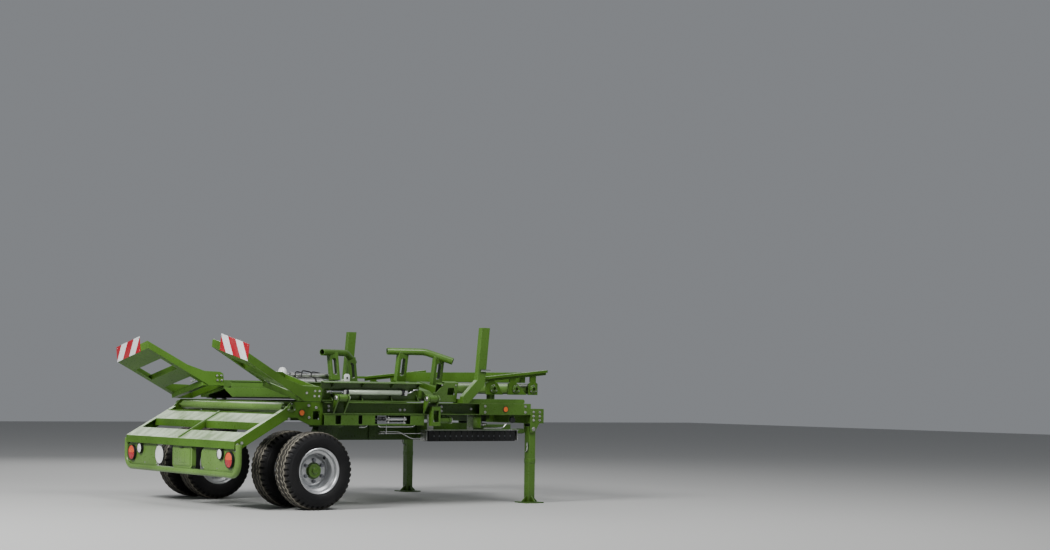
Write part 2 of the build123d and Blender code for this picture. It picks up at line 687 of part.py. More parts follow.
# Fold pipes in the mouths of the edge beams, with clamps
pipe_r = 19.0
pipe_off = 8.0
pipe_n = pin_r + pipe_r + fit
pipe_ys = (165.0, 1100.0)
clamp_w = 30.0
pipe_u = edge_in - edge_wall - pipe_r - pipe_off
with BuildPart() as fold_pipe:
    rod(fold_point(pipe_u, pipe_ys[0], pipe_n), fold_point(pipe_u, pipe_ys[1], pipe_n), pipe_r)
    for clamp_y in (gusset_ys[0] + 4 * clamp_w, pipe_ys[1] - clamp_w):
        fold_block((pipe_u - pipe_r - edge_wall, edge_in - edge_wall), (clamp_y, clamp_y + clamp_w),
                   (pipe_n - pipe_r - edge_wall, pipe_n + pipe_r + edge_wall))
keep_pair(fold_pipe.part, "fold_pipe")

# Oil stores: two cylinders in a cradle on the left platform's arms
store_r = 45.0
store_y = (600.0, 1250.0)
store_u = kerb_in - store_r - edge_wall - fit
cradle_t = 12.0
store_pitch = 2 * store_r + gap
with BuildPart() as stores:
    for u in (store_u, store_u - store_pitch):
        rod(fold_point(u, store_y[0], store_r), fold_point(u, store_y[1], store_r), store_r)
    for cradle_y in (store_y[0] - cradle_t, store_y[1]):
        with BuildSketch(fold_across(cradle_y)) as outline:
            with Locations((store_u - store_pitch / 2, store_r)):
                SlotOverall(store_pitch + 2 * store_r - cradle_t, 2 * store_r - cradle_t)
        extrude(outline.sketch, amount=cradle_t)
keep(mirror(stores.part, about=Plane.YZ), "oil_stores")

# Tall posts at the front corners: raked feet that end in long rounded bars on the beams
post_x = (beam_out + 44.0, beam_out + 104.0)
post_d = 100.0
post_clear = 10.0
post_rear = platform_front + post_clear
post_front_low = (1780.0, deck_z)
post_front_knee = (1980.0, 1238.0)
post_front_head = (2034.0, 1828.0)
post_rear_head = (1936.0, 1828.0)
post_rear_knee = (1886.0, 1290.0)
post_rear_low = (post_rear, 1118.0)
foot_bar_h = 46.0
foot_bar_front = 2570.0
with BuildPart() as tall_posts:
    post = (
        (post_rear, deck_z), post_front_low, post_front_knee, post_front_head, post_rear_head,
        post_rear_knee, post_rear_low,
    )
    plate(side(post_x[0]), post, post_x[1] - post_x[0])
    block((beam_in, post_x[1]), (post_rear, post_front_low[0]), (deck_z, deck_z + foot_bar_h))
    block((beam_in, beam_out), (post_rear, foot_bar_front - foot_bar_h / 2), (deck_z, deck_z + foot_bar_h))
    rod((beam_in, foot_bar_front - foot_bar_h / 2, deck_z + foot_bar_h / 2),
        (beam_out, foot_bar_front - foot_bar_h / 2, deck_z + foot_bar_h / 2), foot_bar_h / 2)
    mirror(about=Plane.YZ)
keep(tall_posts.part, "tall_posts")

# Infeed chute: two inclined rails with hanging bearing plates, a cross tube and three rollers
post_gap = 84.0
chute_half = post_x[0] - post_gap
chute_rear = (2080.0, 1324.0)
chute_front = (2900.0, 1408.0)
chute_d = 26.0
chute_t = 60.0
chute_slope = (chute_front[1] - chute_rear[1]) / (chute_front[0] - chute_rear[0])
bearing_t = 16.0
bearing_low = 1142.0
bearing_top = 1262.0
infeed_z = 1202.0
infeed_r = 55.0
infeed_ys = (2214.0, 2504.0, 2730.0)
foot_rears = (90.0, 100.0, 60.0)         # from each roller to the corners of its bearing plate
foot_fronts = (125.0, 142.0, 60.0)
top_rears = (96.0, 94.0, 60.0)
top_fronts = (52.0, 14.0, 60.0)
neck_half = 38.0
infeed_half = chute_half - chute_t - gap
tie_w = 60.0
tie_h = 110.0
ledge_t = 60.0


def chute_low(y):
    """Height of the underside of a chute rail at y."""
    return chute_rear[1] + chute_slope * (y - chute_rear[0]) - chute_d


tie_y = (infeed_ys[1] + infeed_ys[2]) / 2
with BuildPart() as infeed_frame:
    rail = (
        chute_rear, chute_front, (chute_front[0], chute_low(chute_front[0])),
        (chute_rear[0], chute_low(chute_rear[0])),
    )
    plate(side(chute_half - chute_t), rail, chute_t)
    web = (
        (chute_rear[0], chute_low(chute_rear[0])), (chute_front[0], chute_low(chute_front[0])),
        (chute_front[0], chute_low(chute_front[0]) - chute_d), (chute_rear[0], chute_low(chute_rear[0]) - chute_d),
    )
    plate(side(chute_half - chute_t / 2 - bearing_t), web, bearing_t)
    for roll_y, foot_rear, foot_front, top_rear, top_front in zip(
            infeed_ys, foot_rears, foot_fronts, top_rears, top_fronts):
        neck_y = roll_y + (top_front - top_rear) / 2
        bearing = (
            (roll_y - foot_rear, bearing_low), (roll_y + foot_front, bearing_low),
            (roll_y + top_front, bearing_top), (neck_y + neck_half, bearing_top + chute_d / 2),
            (neck_y + neck_half, chute_low(neck_y + neck_half)), (neck_y - neck_half, chute_low(neck_y - neck_half)),
            (neck_y - neck_half, bearing_top + chute_d / 2), (roll_y - top_rear, bearing_top),
        )
        plate(side(chute_half - chute_t / 2 - bearing_t), bearing, bearing_t)
        rod((0, roll_y, infeed_z), (chute_half + over, roll_y, infeed_z), shaft_r + fit, mode=Mode.SUBTRACT)
    mirror(about=Plane.YZ)
    block((-chute_half + chute_t, chute_half - chute_t), (tie_y - tie_w / 2, tie_y + tie_w / 2),
          (chute_low(tie_y) + chute_d - tie_h, chute_low(tie_y) + chute_d))
    post_ledge = (
        (post_front_knee[0], chute_low(chute_rear[0])), (chute_rear[0], chute_low(chute_rear[0])),
        chute_rear, (post_front_knee[0], chute_rear[1]),
    )
    plate(side(-post_x[0]), post_ledge, post_x[0] - chute_half + chute_t)
    plate(side(chute_half - chute_t), post_ledge, post_x[0] - chute_half + chute_t)
keep(infeed_frame.part, "infeed_frame")

for number, roll_y in enumerate(infeed_ys, start=1):
    with BuildPart() as infeed_roller:
        rod((-infeed_half + bearing_t, roll_y, infeed_z), (infeed_half - bearing_t, roll_y, infeed_z), infeed_r)
        rod((-chute_half + chute_t / 2, roll_y, infeed_z), (chute_half - chute_t / 2, roll_y, infeed_z), shaft_r)
    keep(infeed_roller.part, f"infeed_roller_{number}")

# Front coupling beam, with posts to the infeed chute and V brackets for the legs
couple_l = 172.0
couple_y = (beam_front, beam_front + couple_l)
couple_z = (842.0, 996.0)
couple_half = beam_out
couple_wall = 10.0
ear_t = 12.0
foot_tube = 80.0
leg_drop = 60.0
leg_pin_r = 15.0
leg_head = 28.0
ear_low = 745.0
leg_pin_y = beam_front + foot_tube / 2
leg_pin_z = couple_z[0] - leg_drop
leg_x = couple_half - ear_t - gap - foot_tube / 2
strut_x = 550.0
with BuildPart() as coupling_beam:
    block((-couple_half, couple_half), couple_y, couple_z)
    block((-couple_half + couple_wall, couple_half - couple_wall),
          (couple_y[0] + couple_wall, couple_y[1] - couple_wall),
          (couple_z[0] + couple_wall, couple_z[1] - couple_wall), mode=Mode.SUBTRACT)
    ear = (
        (couple_y[0], couple_z[0]), (couple_y[0], ear_low), (leg_pin_y + leg_pin_r, ear_low),
        (couple_y[0] + couple_l * 2 / 3, couple_z[0]),
    )
    for centre in (-leg_x, leg_x):
        for ear_x in (centre - foot_tube / 2 - gap - ear_t, centre + foot_tube / 2 + gap):
            plate(side(ear_x), ear, ear_t)
        rod((centre - foot_tube / 2 - gap - ear_t, leg_pin_y, leg_pin_z),
            (centre + foot_tube / 2 + gap + ear_t, leg_pin_y, leg_pin_z), leg_pin_r)
    for centre in (-strut_x, strut_x):
        block((centre - tie_w / 2, centre + tie_w / 2), (tie_y - tie_w / 2, couple_y[0]),
              (couple_z[0], chute_low(tie_y) + chute_d - tie_h))
keep(coupling_beam.part, "coupling_beam")

# Parking legs: square tubes with feet, hung on the pins
foot_half = 110.0
foot_t = 12.0
with BuildPart() as parking_leg:
    block((leg_x - foot_tube / 2, leg_x + foot_tube / 2), (leg_pin_y - foot_tube / 2, leg_pin_y + foot_tube / 2),
          (foot_t, leg_pin_z + leg_head))
    block((leg_x - foot_half, leg_x + foot_half), (leg_pin_y - foot_half, leg_pin_y + foot_half), (0, foot_t))
    rod((leg_x - foot_tube, leg_pin_y, leg_pin_z), (leg_x + foot_tube, leg_pin_y, leg_pin_z),
        leg_pin_r + fit, mode=Mode.SUBTRACT)
keep_pair(parking_leg.part, "parking_leg")

# Drawbar: an outer box tube under the frame and an inner tube with the tow eye
housing_w = 180.0
housing_wall = 10.0
housing_rear = 900.0
housing_nose = 76.0
housing_drop = 22.0
slide_fit = 4.0
eye_t = 50.0
nose_length = 180.0
hanger_t = 14.0
pad_l = 60.0
housing_y = (housing_rear, couple_y[1] + housing_nose)
housing_z = (couple_z[0] - housing_drop - housing_w, couple_z[0] - housing_drop)
eye_z = (housing_z[0] + housing_z[1]) / 2
bore_half = housing_w / 2 - housing_wall
inner_half = bore_half - slide_fit
with BuildPart() as drawbar_housing:
    block((-housing_w / 2, housing_w / 2), housing_y, housing_z)
    block((-housing_w / 2 + housing_wall, housing_w / 2 - housing_wall),
          (housing_y[0] - over, housing_y[1] + over),
          (housing_z[0] + housing_wall, housing_z[1] - housing_wall), mode=Mode.SUBTRACT)
    for pad_y in (housing_y[0] + pad_l, housing_y[1] - 2 * pad_l):
        for low, high in ((-bore_half, -inner_half - fit), (inner_half + fit, bore_half)):
            block((low, high), (pad_y, pad_y + pad_l), (eye_z - pad_l / 2, eye_z + pad_l / 2))
            block((-pad_l / 2, pad_l / 2), (pad_y, pad_y + pad_l), (eye_z + low, eye_z + high))
    for hanger_x in (-housing_w / 2 - hanger_t, housing_w / 2):
        for hanger_y in cross_ys[2:4]:
            block((hanger_x, hanger_x + hanger_t), (hanger_y, hanger_y + cross_w), (housing_z[0], beam_bottom))
        block((hanger_x, hanger_x + hanger_t), couple_y, (housing_z[0], couple_z[0]))
keep(drawbar_housing.part, "drawbar_housing")

with BuildPart() as drawbar:
    block((-inner_half, inner_half), (housing_y[0] + housing_wall, eye_ahead - nose_length),
          (eye_z - inner_half, eye_z + inner_half))
    nose = (
        (-inner_half, eye_ahead - nose_length), (inner_half, eye_ahead - nose_length),
        (eye_outer_r, eye_ahead), (-eye_outer_r, eye_ahead),
    )
    plate(above(eye_z - eye_t / 2), nose, eye_t)
    rod((0, eye_ahead, eye_z - eye_t / 2), (0, eye_ahead, eye_z + eye_t / 2), eye_outer_r)
    rod((0, eye_ahead, eye_z - eye_t), (0, eye_ahead, eye_z + eye_t), eye_hole_r, mode=Mode.SUBTRACT)
keep(drawbar.part, "drawbar")

# Drag chain for the hoses: open links with alternate wide and narrow cheeks on pins, under a tray
chain_in = 300.0
chain_w = 110.0
chain_lead = 74.0
chain_rear = cross_ys[3] - chain_lead
chain_top = 742.0
link_count = 16
link_pitch = 72.0
link_h = 112.0
link_t = 8.0
link_lap = 44.0
bar_t = 10.0
pin_out = 14.0
tray_t = 5.0
tray_gap = 6.0
chain_x = (chain_in, chain_in + chain_w)
chain_front = chain_rear + (link_count - 1) * link_pitch + link_pitch + link_lap
chain_mid = chain_top - link_h / 2
tray_z = chain_top + tray_gap
with BuildPart() as chain_tray:
    block((chain_x[0] - tray_t, chain_x[1] + tray_t), (chain_rear, chain_front), (tray_z, tray_z + tray_t))
    for hanger_y in cross_ys[3:]:
        block((chain_x[0], chain_x[0] + tray_t), (hanger_y, hanger_y + cross_w), (tray_z + tray_t, beam_bottom))
    for clip_y in (chain_rear + link_lap, chain_front - 2 * link_lap):
        block((chain_x[0] + link_lap, chain_x[1] - link_lap), (clip_y, clip_y + link_lap), (chain_top, tray_z))
keep(chain_tray.part, "chain_tray")

with BuildPart() as drag_chain:
    for link in range(link_count):
        link_y = chain_rear + link * link_pitch
        inset = link_t + fit if link % 2 else 0
        corner = link_lap / 2
        length = link_pitch + link_lap
        half_h = link_h / 2
        cheek_line = (
            (link_y, chain_mid - half_h + corner), (link_y + corner, chain_mid - half_h),
            (link_y + length - corner, chain_mid - half_h), (link_y + length, chain_mid - half_h + corner),
            (link_y + length, chain_mid + half_h - corner), (link_y + length - corner, chain_mid + half_h),
            (link_y + corner, chain_mid + half_h), (link_y, chain_mid + half_h - corner),
        )
        for cheek_x in (chain_x[0] + inset, chain_x[1] - inset - link_t):
            plate(side(cheek_x), cheek_line, link_t)
        for bar_z in (chain_mid - half_h, chain_mid + half_h - bar_t):
            block((chain_x[0] + inset, chain_x[1] - inset), (link_y + link_lap + gap, link_y + link_pitch - gap),
                  (bar_z, bar_z + bar_t))
    for joint in range(1, link_count):
        pin_y = chain_rear + joint * link_pitch + link_lap / 2
        block((chain_x[0], chain_x[1]), (pin_y - pin_out, pin_y + pin_out), (chain_mid - pin_out, chain_mid + pin_out))
keep(drag_chain.part, "drag_chain")

# Valve block with two cylinders in the long windows of the right lower channel
valve_y = (755.0, 862.0)
ram_front = 1103.0
ram_zs = (885.0, 842.0)
ram_rs = (23.0, 14.0)
with BuildPart() as valve_block:
    valve_x = (beam_in + beam_wall, lower_out - beam_wall)
    block(valve_x, valve_y, (lower_bottom + beam_wall, beam_bottom - beam_wall))
    for ram_z, ram_r in zip(ram_zs, ram_rs):
        rod((valve_x[1] - ram_rs[0], valve_y[1], ram_z), (valve_x[1] - ram_rs[0], ram_front, ram_z), ram_r)
keep(valve_block.part, "valve_block")
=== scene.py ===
# %% [markdown]
# # Bale accumulator
# A towed farm machine, folded for the road. The rigid solids come ready made, in metres, in a frame
# whose origin is on the ground under the middle of the machine: X to its right, Y forward, Z up.
# This script dresses them: it adds the detail that solids leave out and gives every surface a finish.

# %% Load the solids
import bmesh
import bpy
import math
from mathutils import Matrix, Vector


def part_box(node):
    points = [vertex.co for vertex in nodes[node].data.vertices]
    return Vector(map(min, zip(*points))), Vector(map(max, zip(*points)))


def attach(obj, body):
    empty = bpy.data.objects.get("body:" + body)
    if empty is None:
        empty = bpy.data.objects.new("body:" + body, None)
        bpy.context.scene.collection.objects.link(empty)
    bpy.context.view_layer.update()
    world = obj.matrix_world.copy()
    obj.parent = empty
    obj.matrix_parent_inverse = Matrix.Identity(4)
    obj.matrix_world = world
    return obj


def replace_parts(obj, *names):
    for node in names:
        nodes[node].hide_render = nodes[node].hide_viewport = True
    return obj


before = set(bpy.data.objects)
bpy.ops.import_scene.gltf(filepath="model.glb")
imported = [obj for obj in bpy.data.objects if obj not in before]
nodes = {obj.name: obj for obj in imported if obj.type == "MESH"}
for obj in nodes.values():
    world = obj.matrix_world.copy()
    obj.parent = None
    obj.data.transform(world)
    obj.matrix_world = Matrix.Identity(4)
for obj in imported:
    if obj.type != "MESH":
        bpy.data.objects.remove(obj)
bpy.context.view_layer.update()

# %% [markdown]
# Most places on this machine are easiest to say from the wheel axle, so one helper turns "ahead of the
# axle" into the shared frame. Reading the axle from the hub's own box keeps it true to the solids.

# %% Places counted from the axle
hub_low, hub_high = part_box("hub_right")
axle = (hub_low + hub_high) / 2


def at(x, y, z):
    """A point with y counted from the wheel axle."""
    return Vector((x, axle.y + y, z))


print("axle", [round(value, 3) for value in axle])

# %% [markdown]
# ## Camera
# The photograph was taken from behind and to the right with a long lens. Its place was worked out from
# the circles of the wheels and the corners of the ramp, so a matrix says it exactly: three directions
# and a point. The picture was cropped low, which the lens shift repeats.

# %% Camera


def in_scene(name, data):
    """An object for a camera, a lamp or a mesh, linked into the scene."""
    made = bpy.data.objects.new(name, data)
    bpy.context.collection.objects.link(made)
    return made


picture_w, picture_h = 1050, 550
focal_px, centre_row, film_w = 1900.782, 390.673, 36    # both in the picture's pixels; film in mm
eye_turn, eye_lean = math.radians(36.559), math.radians(0.821)
flat_right = Vector((math.sin(eye_turn), math.cos(eye_turn), 0))
ahead = Vector((-math.cos(eye_turn), math.sin(eye_turn), 0))
up = Vector((0, 0, 1))
camera_right = flat_right * math.cos(eye_lean) + up * math.sin(eye_lean)
camera_up = up * math.cos(eye_lean) - flat_right * math.sin(eye_lean)
camera_place = at(17.327, -9.357, 1.187)
camera = in_scene("camera", bpy.data.cameras.new("camera"))
camera.matrix_world = Matrix.Translation(camera_place) @ Matrix(
    (camera_right, camera_up, -ahead)).transposed().to_4x4()
camera.data.sensor_width = film_w
camera.data.lens = film_w * focal_px / picture_w
camera.data.shift_y = (centre_row - picture_h / 2) / picture_w
camera.data.clip_end = 200
bpy.context.scene.camera = camera
print("lens", round(camera.data.lens, 1), "mm")

# %% [markdown]
# ## Floor and light
# A pale floor and a few large lamps stand in for an overcast yard. Big lamps give the soft, broad
# highlights that enamel shows outdoors. One lamp is high over the tail, as the sheets there are bright
# in the photograph, one comes from the camera's side and a weak one lights the far side.

# %% Floor and lamps
bpy.ops.mesh.primitive_plane_add(size=80)
floor = bpy.context.object
floor.name = "floor"
floor_finish = bpy.data.materials.new("pale_floor")
floor_finish.use_nodes = True
floor_shader = floor_finish.node_tree.nodes["Principled BSDF"]
floor_shader.inputs["Base Color"].default_value = (0.43, 0.43, 0.42, 1)
floor_shader.inputs["Roughness"].default_value = 0.9
floor.data.materials.append(floor_finish)

sky = bpy.data.worlds.new("soft_sky")
sky.use_nodes = True
sky.node_tree.nodes["Background"].inputs["Color"].default_value = (0.9, 0.94, 1.0, 1)
sky.node_tree.nodes["Background"].inputs["Strength"].default_value = 0.25
bpy.context.scene.world = sky

lamp_aim = at(0, 0.5, 0.8)
lamp_rows = (
    ("tail_light", at(3.0, -9.0, 8.0), 3.5, 1850),
    ("side_light", at(7.0, 2.0, 9.5), 4.5, 750),
    ("far_light", at(-9.0, 3.0, 6.0), 6.0, 250),
)                                     # name, place, size, power
for name, place, size, power in lamp_rows:
    lamp = in_scene(name, bpy.data.lights.new(name, "AREA"))
    lamp.data.size = size
    lamp.data.energy = power
    lamp.location = place
    lamp.rotation_euler = (lamp_aim - place).to_track_quat("-Z", "Y").to_euler()
print("lamps", len(lamp_rows))

# %% [markdown]
# ## Finishes
# A finish is a small network of shader nodes. Helpers keep the networks readable: one adds a node and
# wires what feeds it, and the others do the steps that nearly every finish needs, such as mixing two
# colours by a mask. All patterns read Object coordinates, so they stay on the metal when a part turns.

# %% Helpers for shader networks


def put(tree, kind, feeds=(), **settings):
    """Add a shader node, with its settings, and feed its inputs with values or other sockets."""
    made = tree.nodes.new(kind)
    for key, value in settings.items():
        setattr(made, key, value)
    for key, value in dict(feeds).items():
        if isinstance(value, bpy.types.NodeSocket):
            tree.links.new(value, made.inputs[key])
        else:
            made.inputs[key].default_value = value
    return made


def mixed(tree, mask, first, second):
    """Mix two colours: none of the second where the mask is 0, all of it where the mask is 1."""
    return put(tree, "ShaderNodeMix", {0: mask, 6: first, 7: second}, data_type="RGBA").outputs[2]


def stepped(tree, value, low, high, out_low=0.0, out_high=1.0):
    """Turn a value between two limits into a clamped ramp."""
    feeds = {"Value": value, "From Min": low, "From Max": high, "To Min": out_low, "To Max": out_high}
    return put(tree, "ShaderNodeMapRange", feeds).outputs["Result"]


def maths(tree, job, first, second=0.0):
    """One step of arithmetic between sockets or numbers."""
    return put(tree, "ShaderNodeMath", {0: first, 1: second}, operation=job).outputs[0]


def noise(tree, where, scale, detail=4.0):
    """Cloudy noise over a place."""
    feeds = {"Vector": where, "Scale": scale, "Detail": detail}
    return put(tree, "ShaderNodeTexNoise", feeds).outputs["Fac"]


def stretched(tree, where, scale):
    """Object coordinates stretched along some axes, for scratches and brushed grain."""
    return put(tree, "ShaderNodeMapping", {"Vector": where, "Scale": scale}).outputs["Vector"]


def axes_of(tree, where):
    """The X, Y and Z of a place or a direction."""
    return put(tree, "ShaderNodeSeparateXYZ", {0: where}).outputs


def shade(colour, factor=1.0, lift=0.0):
    """A colour made deeper or lighter, with the alpha that sockets want."""
    return tuple(min(1.0, factor * value + lift) for value in colour) + (1,)


def new_finish(name):
    """A material with its tree, its shader and its Object coordinates."""
    made = bpy.data.materials.new(name)
    made.use_nodes = True
    tree = made.node_tree
    place = put(tree, "ShaderNodeTexCoord")
    return made, tree, tree.nodes["Principled BSDF"], place


def surfaced(tree, shader, colour, roughness):
    """Feed the shader its colour and its roughness."""
    tree.links.new(colour, shader.inputs["Base Color"])
    tree.links.new(roughness, shader.inputs["Roughness"])


def bumped(tree, shader, height, strength, distance, normal=None):
    """Feed a height pattern to the shader's normal."""
    feeds = {"Height": height, "Strength": strength, "Distance": distance}
    if normal:
        feeds["Normal"] = normal
    tree.links.new(put(tree, "ShaderNodeBump", feeds).outputs["Normal"], shader.inputs["Normal"])


print("finish helpers ready")

# %% [markdown]
# The enamel is the same all over the machine: a leaf green, glossy, a little uneven, with dust where
# faces look up and lighter colour on the edges, partly rubbed wear and partly a painted highlight. A
# Bevel node compares the true normal with a rounded one. They differ only near edges, which gives the
# mask for that lighter edge colour, and the rounded normal softens the edges' real highlight too.
# Faces that bales slide on are rubbed nearly white and catch the sky's reflection, so a version of the
# finish has a pale layer on the faces that look up, with streaks along the way the bales go: partly
# rubbed wear, partly a painted reflection of the sky. In the channels and corners, where the Ambient
# Occlusion node finds little open air, the enamel is painted deeper: that is painted shade.

# %% Enamel
dust_grey, pale_wear_and_sheen = (0.36, 0.4, 0.33, 1), (0.42, 0.53, 0.34, 1)
edge_radius, edge_wear_and_highlight, corner_reach = 0.006, 0.6, 0.22


def enamel(name, colour, wear_and_sheen_share=0.0, dust=0.07, streak=(1.0, 1.0, 1.0), gloss=0.38):
    """Gloss machine enamel, with a pale layer on the faces that look up in the share given: rubbed wear and a
    painted sky reflection.
    """
    made, tree, shader, place = new_finish(name)
    where = place.outputs["Object"]
    clouds = noise(tree, where, 1.8)
    specks = noise(tree, where, 55.0, 6.0)
    base = mixed(tree, stepped(tree, clouds, 0.32, 0.68), shade(colour, 0.8), shade(colour, 1.22, 0.004))
    looks_up = stepped(tree, axes_of(tree, place.outputs["Normal"])["Z"], 0.35, 0.8)
    dusty = maths(tree, "MULTIPLY", looks_up, stepped(tree, specks, 0.35, 0.75, dust * 0.5, dust * 2.0))
    base = mixed(tree, dusty, base, dust_grey)
    if wear_and_sheen_share:
        # The pale layer on faces that look up is partly rubbed wear and partly a painted reflection of the
        # sky.
        grain = noise(tree, stretched(tree, where, streak), 7.0, 5.0)
        wear_and_sheen_mask = maths(tree, "MULTIPLY", looks_up, stepped(tree, grain, 0.36, 0.6, wear_and_sheen_share * 0.35, wear_and_sheen_share))
        base = mixed(tree, wear_and_sheen_mask, base, pale_wear_and_sheen)
    # Lighter edges, partly rubbed wear and partly a painted highlight, found with a Bevel node.
    rounded = put(tree, "ShaderNodeBevel", {"Radius": edge_radius}, samples=4).outputs["Normal"]
    flat = put(tree, "ShaderNodeNewGeometry").outputs["Normal"]
    likeness = put(tree, "ShaderNodeVectorMath", {0: rounded, 1: flat}, operation="DOT_PRODUCT")
    rim = stepped(tree, likeness.outputs["Value"], 0.985, 0.9)
    rim = maths(tree, "MULTIPLY", rim, stepped(tree, specks, 0.3, 0.62, edge_wear_and_highlight * 0.35, edge_wear_and_highlight))
    base = mixed(tree, rim, base, shade(colour, 1.6, 0.09))
    # Painted shade: the enamel is darkened in channels and corners, where the AO node finds little open air.
    painted_shade_ao = put(tree, "ShaderNodeAmbientOcclusion", {"Distance": corner_reach}, samples=6)
    base = mixed(tree, stepped(tree, painted_shade_ao.outputs["AO"], 0.15, 0.85), shade(colour, 0.3), base)
    surfaced(tree, shader, base, stepped(tree, specks, 0.3, 0.7, 0.24, 0.4))
    shader.inputs["Specular IOR Level"].default_value = gloss
    shader.inputs["Coat Weight"].default_value = gloss / 4
    shader.inputs["Coat Roughness"].default_value = 0.2
    bumped(tree, shader, noise(tree, where, 260.0, 2.0), 0.04, 0.001, rounded)
    return made


leaf = (0.062, 0.142, 0.015)
green = enamel("leaf_enamel", leaf)
slide_green = enamel("wear_and_sheen_enamel", leaf, wear_and_sheen_share=0.92, streak=(1.6, 0.5, 1.6), gloss=0.12)
panel_green = enamel("panel_enamel", (0.105, 0.205, 0.038), dust=0.05)
# A darker copy of the leaf enamel for parts that sit in shade: painted shade.
shaded_green = enamel("shaded_enamel", (0.04, 0.095, 0.01), dust=0.12)
print("enamels", [made.name for made in (green, slide_green, panel_green, shaded_green)])

# %% [markdown]
# Tyre rubber is nearly black, dull, and grey with dust where it meets the road. The dust follows the
# distance from the axle, which Object coordinates give: shift them to the axle and take the length in
# the plane of the wheel. The same distance finds the slopes of the grooves, which are drawn as light
# lines: partly dry mud that stays there, partly a painted highlight on the edges of the ribs. Fine
# noise breaks the gloss so the wall doesn't look like plastic.

# %% Tyre rubber
dust_starts, dust_full = 0.352, 0.366
slope_foot, slope_top = (0.3718, 0.3735), (0.3775, 0.379)
tread_dust, mud_and_edge_highlight, mud_and_highlight_share = (0.04, 0.037, 0.031, 1), (0.23, 0.212, 0.17, 1), 0.75


def tyre_rubber():
    """Dull black rubber with road dust on the tread and light lines on the slopes of its grooves: dry mud and
    painted highlight.
    """
    made, tree, shader, place = new_finish("tyre_rubber")
    where = place.outputs["Object"]
    axes = axes_of(tree, where)
    y = maths(tree, "SUBTRACT", axes["Y"], axle.y)
    z = maths(tree, "SUBTRACT", axes["Z"], axle.z)
    squares = maths(tree, "ADD", maths(tree, "POWER", y, 2.0), maths(tree, "POWER", z, 2.0))
    radius = maths(tree, "SQRT", squares)
    cloud = noise(tree, where, 9.0, 6.0)
    tread = maths(tree, "MULTIPLY", stepped(tree, radius, dust_starts, dust_full),
                  stepped(tree, cloud, 0.3, 0.7, 0.35, 0.9))
    wall = stepped(tree, noise(tree, where, 3.0, 5.0), 0.35, 0.75)
    tone = mixed(tree, wall, (0.006, 0.006, 0.007, 1), (0.014, 0.0135, 0.0135, 1))
    tone = mixed(tree, tread, tone, tread_dust)
    # Light lines on the groove slopes: partly dry mud, partly a painted highlight on the rib edges.
    slopes = maths(tree, "MULTIPLY", stepped(tree, radius, *slope_foot),
                   stepped(tree, radius, *slope_top, 1.0, 0.0))
    tone = mixed(tree, maths(tree, "MULTIPLY", slopes, mud_and_highlight_share), tone, mud_and_edge_highlight)
    surfaced(tree, shader, tone, stepped(tree, cloud, 0.3, 0.7, 0.5, 0.78))
    shader.inputs["Specular IOR Level"].default_value = 0.22
    bumped(tree, shader, noise(tree, where, 220.0, 4.0), 0.25, 0.0015)
    return made


rubber = tyre_rubber()
print("rubber", rubber.name)

# %% [markdown]
# Bare and plated metals differ in colour, in how much they shine and in the direction of their grain.
# One recipe covers them: a metal shader, cloudy tone, fine grain in the roughness, and a stretch that
# turns the grain into brush marks. Silver wheel paint is the same idea with less metal in it.

# %% Metals


def metal(name, colour, rough=(0.25, 0.45), shine=1.0, grain=(1.0, 1.0, 1.0)):
    """Plated, brushed or lacquered metal."""
    made, tree, shader, place = new_finish(name)
    where = place.outputs["Object"]
    fine = noise(tree, stretched(tree, where, grain), 90.0, 5.0)
    cloud = noise(tree, where, 6.0, 5.0)
    tone = mixed(tree, stepped(tree, cloud, 0.3, 0.7), shade(colour, 0.72), shade(colour))
    surfaced(tree, shader, tone, stepped(tree, fine, 0.3, 0.7, *rough))
    shader.inputs["Metallic"].default_value = shine
    bumped(tree, shader, fine, 0.06, 0.0006)
    return made


wheel_silver = metal("wheel_silver", (0.6, 0.61, 0.62), (0.28, 0.42), 0.75)
zinc = metal("zinc_plate", (0.66, 0.66, 0.64), (0.22, 0.5))
bright = metal("drawn_steel", (0.7, 0.71, 0.71), (0.1, 0.22), 1.0, (1.0, 0.08, 1.0))
dull_steel = metal("oiled_steel", (0.2, 0.2, 0.19), (0.35, 0.6), 0.9)
nut_steel = metal("wheel_nut_steel", (0.26, 0.27, 0.29), (0.25, 0.45), 0.9)
print("metals", [made.name for made in (wheel_silver, zinc, bright, dull_steel, nut_steel)])

# %% [markdown]
# Lenses are tinted plastic with small ribs moulded inside. Real glass shading is slow and would show
# only the dark inside of the lamp, so the tint is painted, the shader gets a clear coat and a rib
# pattern makes the bump and paints the crests of the ribs lighter, a painted highlight. Moulded black
# nylon and the plain sheets share the simple recipe below.

# %% Lenses, nylon and sheets


def plastic(name, colour, rough=0.3, ribs=0.0, coat=0.0):
    """Moulded plastic or plain enamelled sheet, with ribs where it is a lens."""
    made, tree, shader, place = new_finish(name)
    where = place.outputs["Object"]
    cloud = noise(tree, where, 12.0, 4.0)
    height = noise(tree, where, 120.0, 3.0)
    tone = mixed(tree, stepped(tree, cloud, 0.3, 0.7), shade(colour, 0.82), shade(colour))
    if ribs:
        axes = axes_of(tree, where)
        row = maths(tree, "SINE", maths(tree, "MULTIPLY", axes["Z"], ribs))
        column = maths(tree, "SINE", maths(tree, "MULTIPLY", axes["X"], ribs))
        height = maths(tree, "MULTIPLY", row, column)
        # Painted highlight: the crests of the ribs are lighter.
        tone = mixed(tree, stepped(tree, height, -0.6, 0.9), tone, shade(colour, 1.5, 0.02))
    surfaced(tree, shader, tone, stepped(tree, cloud, 0.3, 0.7, rough * 0.8, rough * 1.3))
    shader.inputs["Coat Weight"].default_value = coat
    bumped(tree, shader, height, 0.5 if ribs else 0.08, 0.0012)
    return made


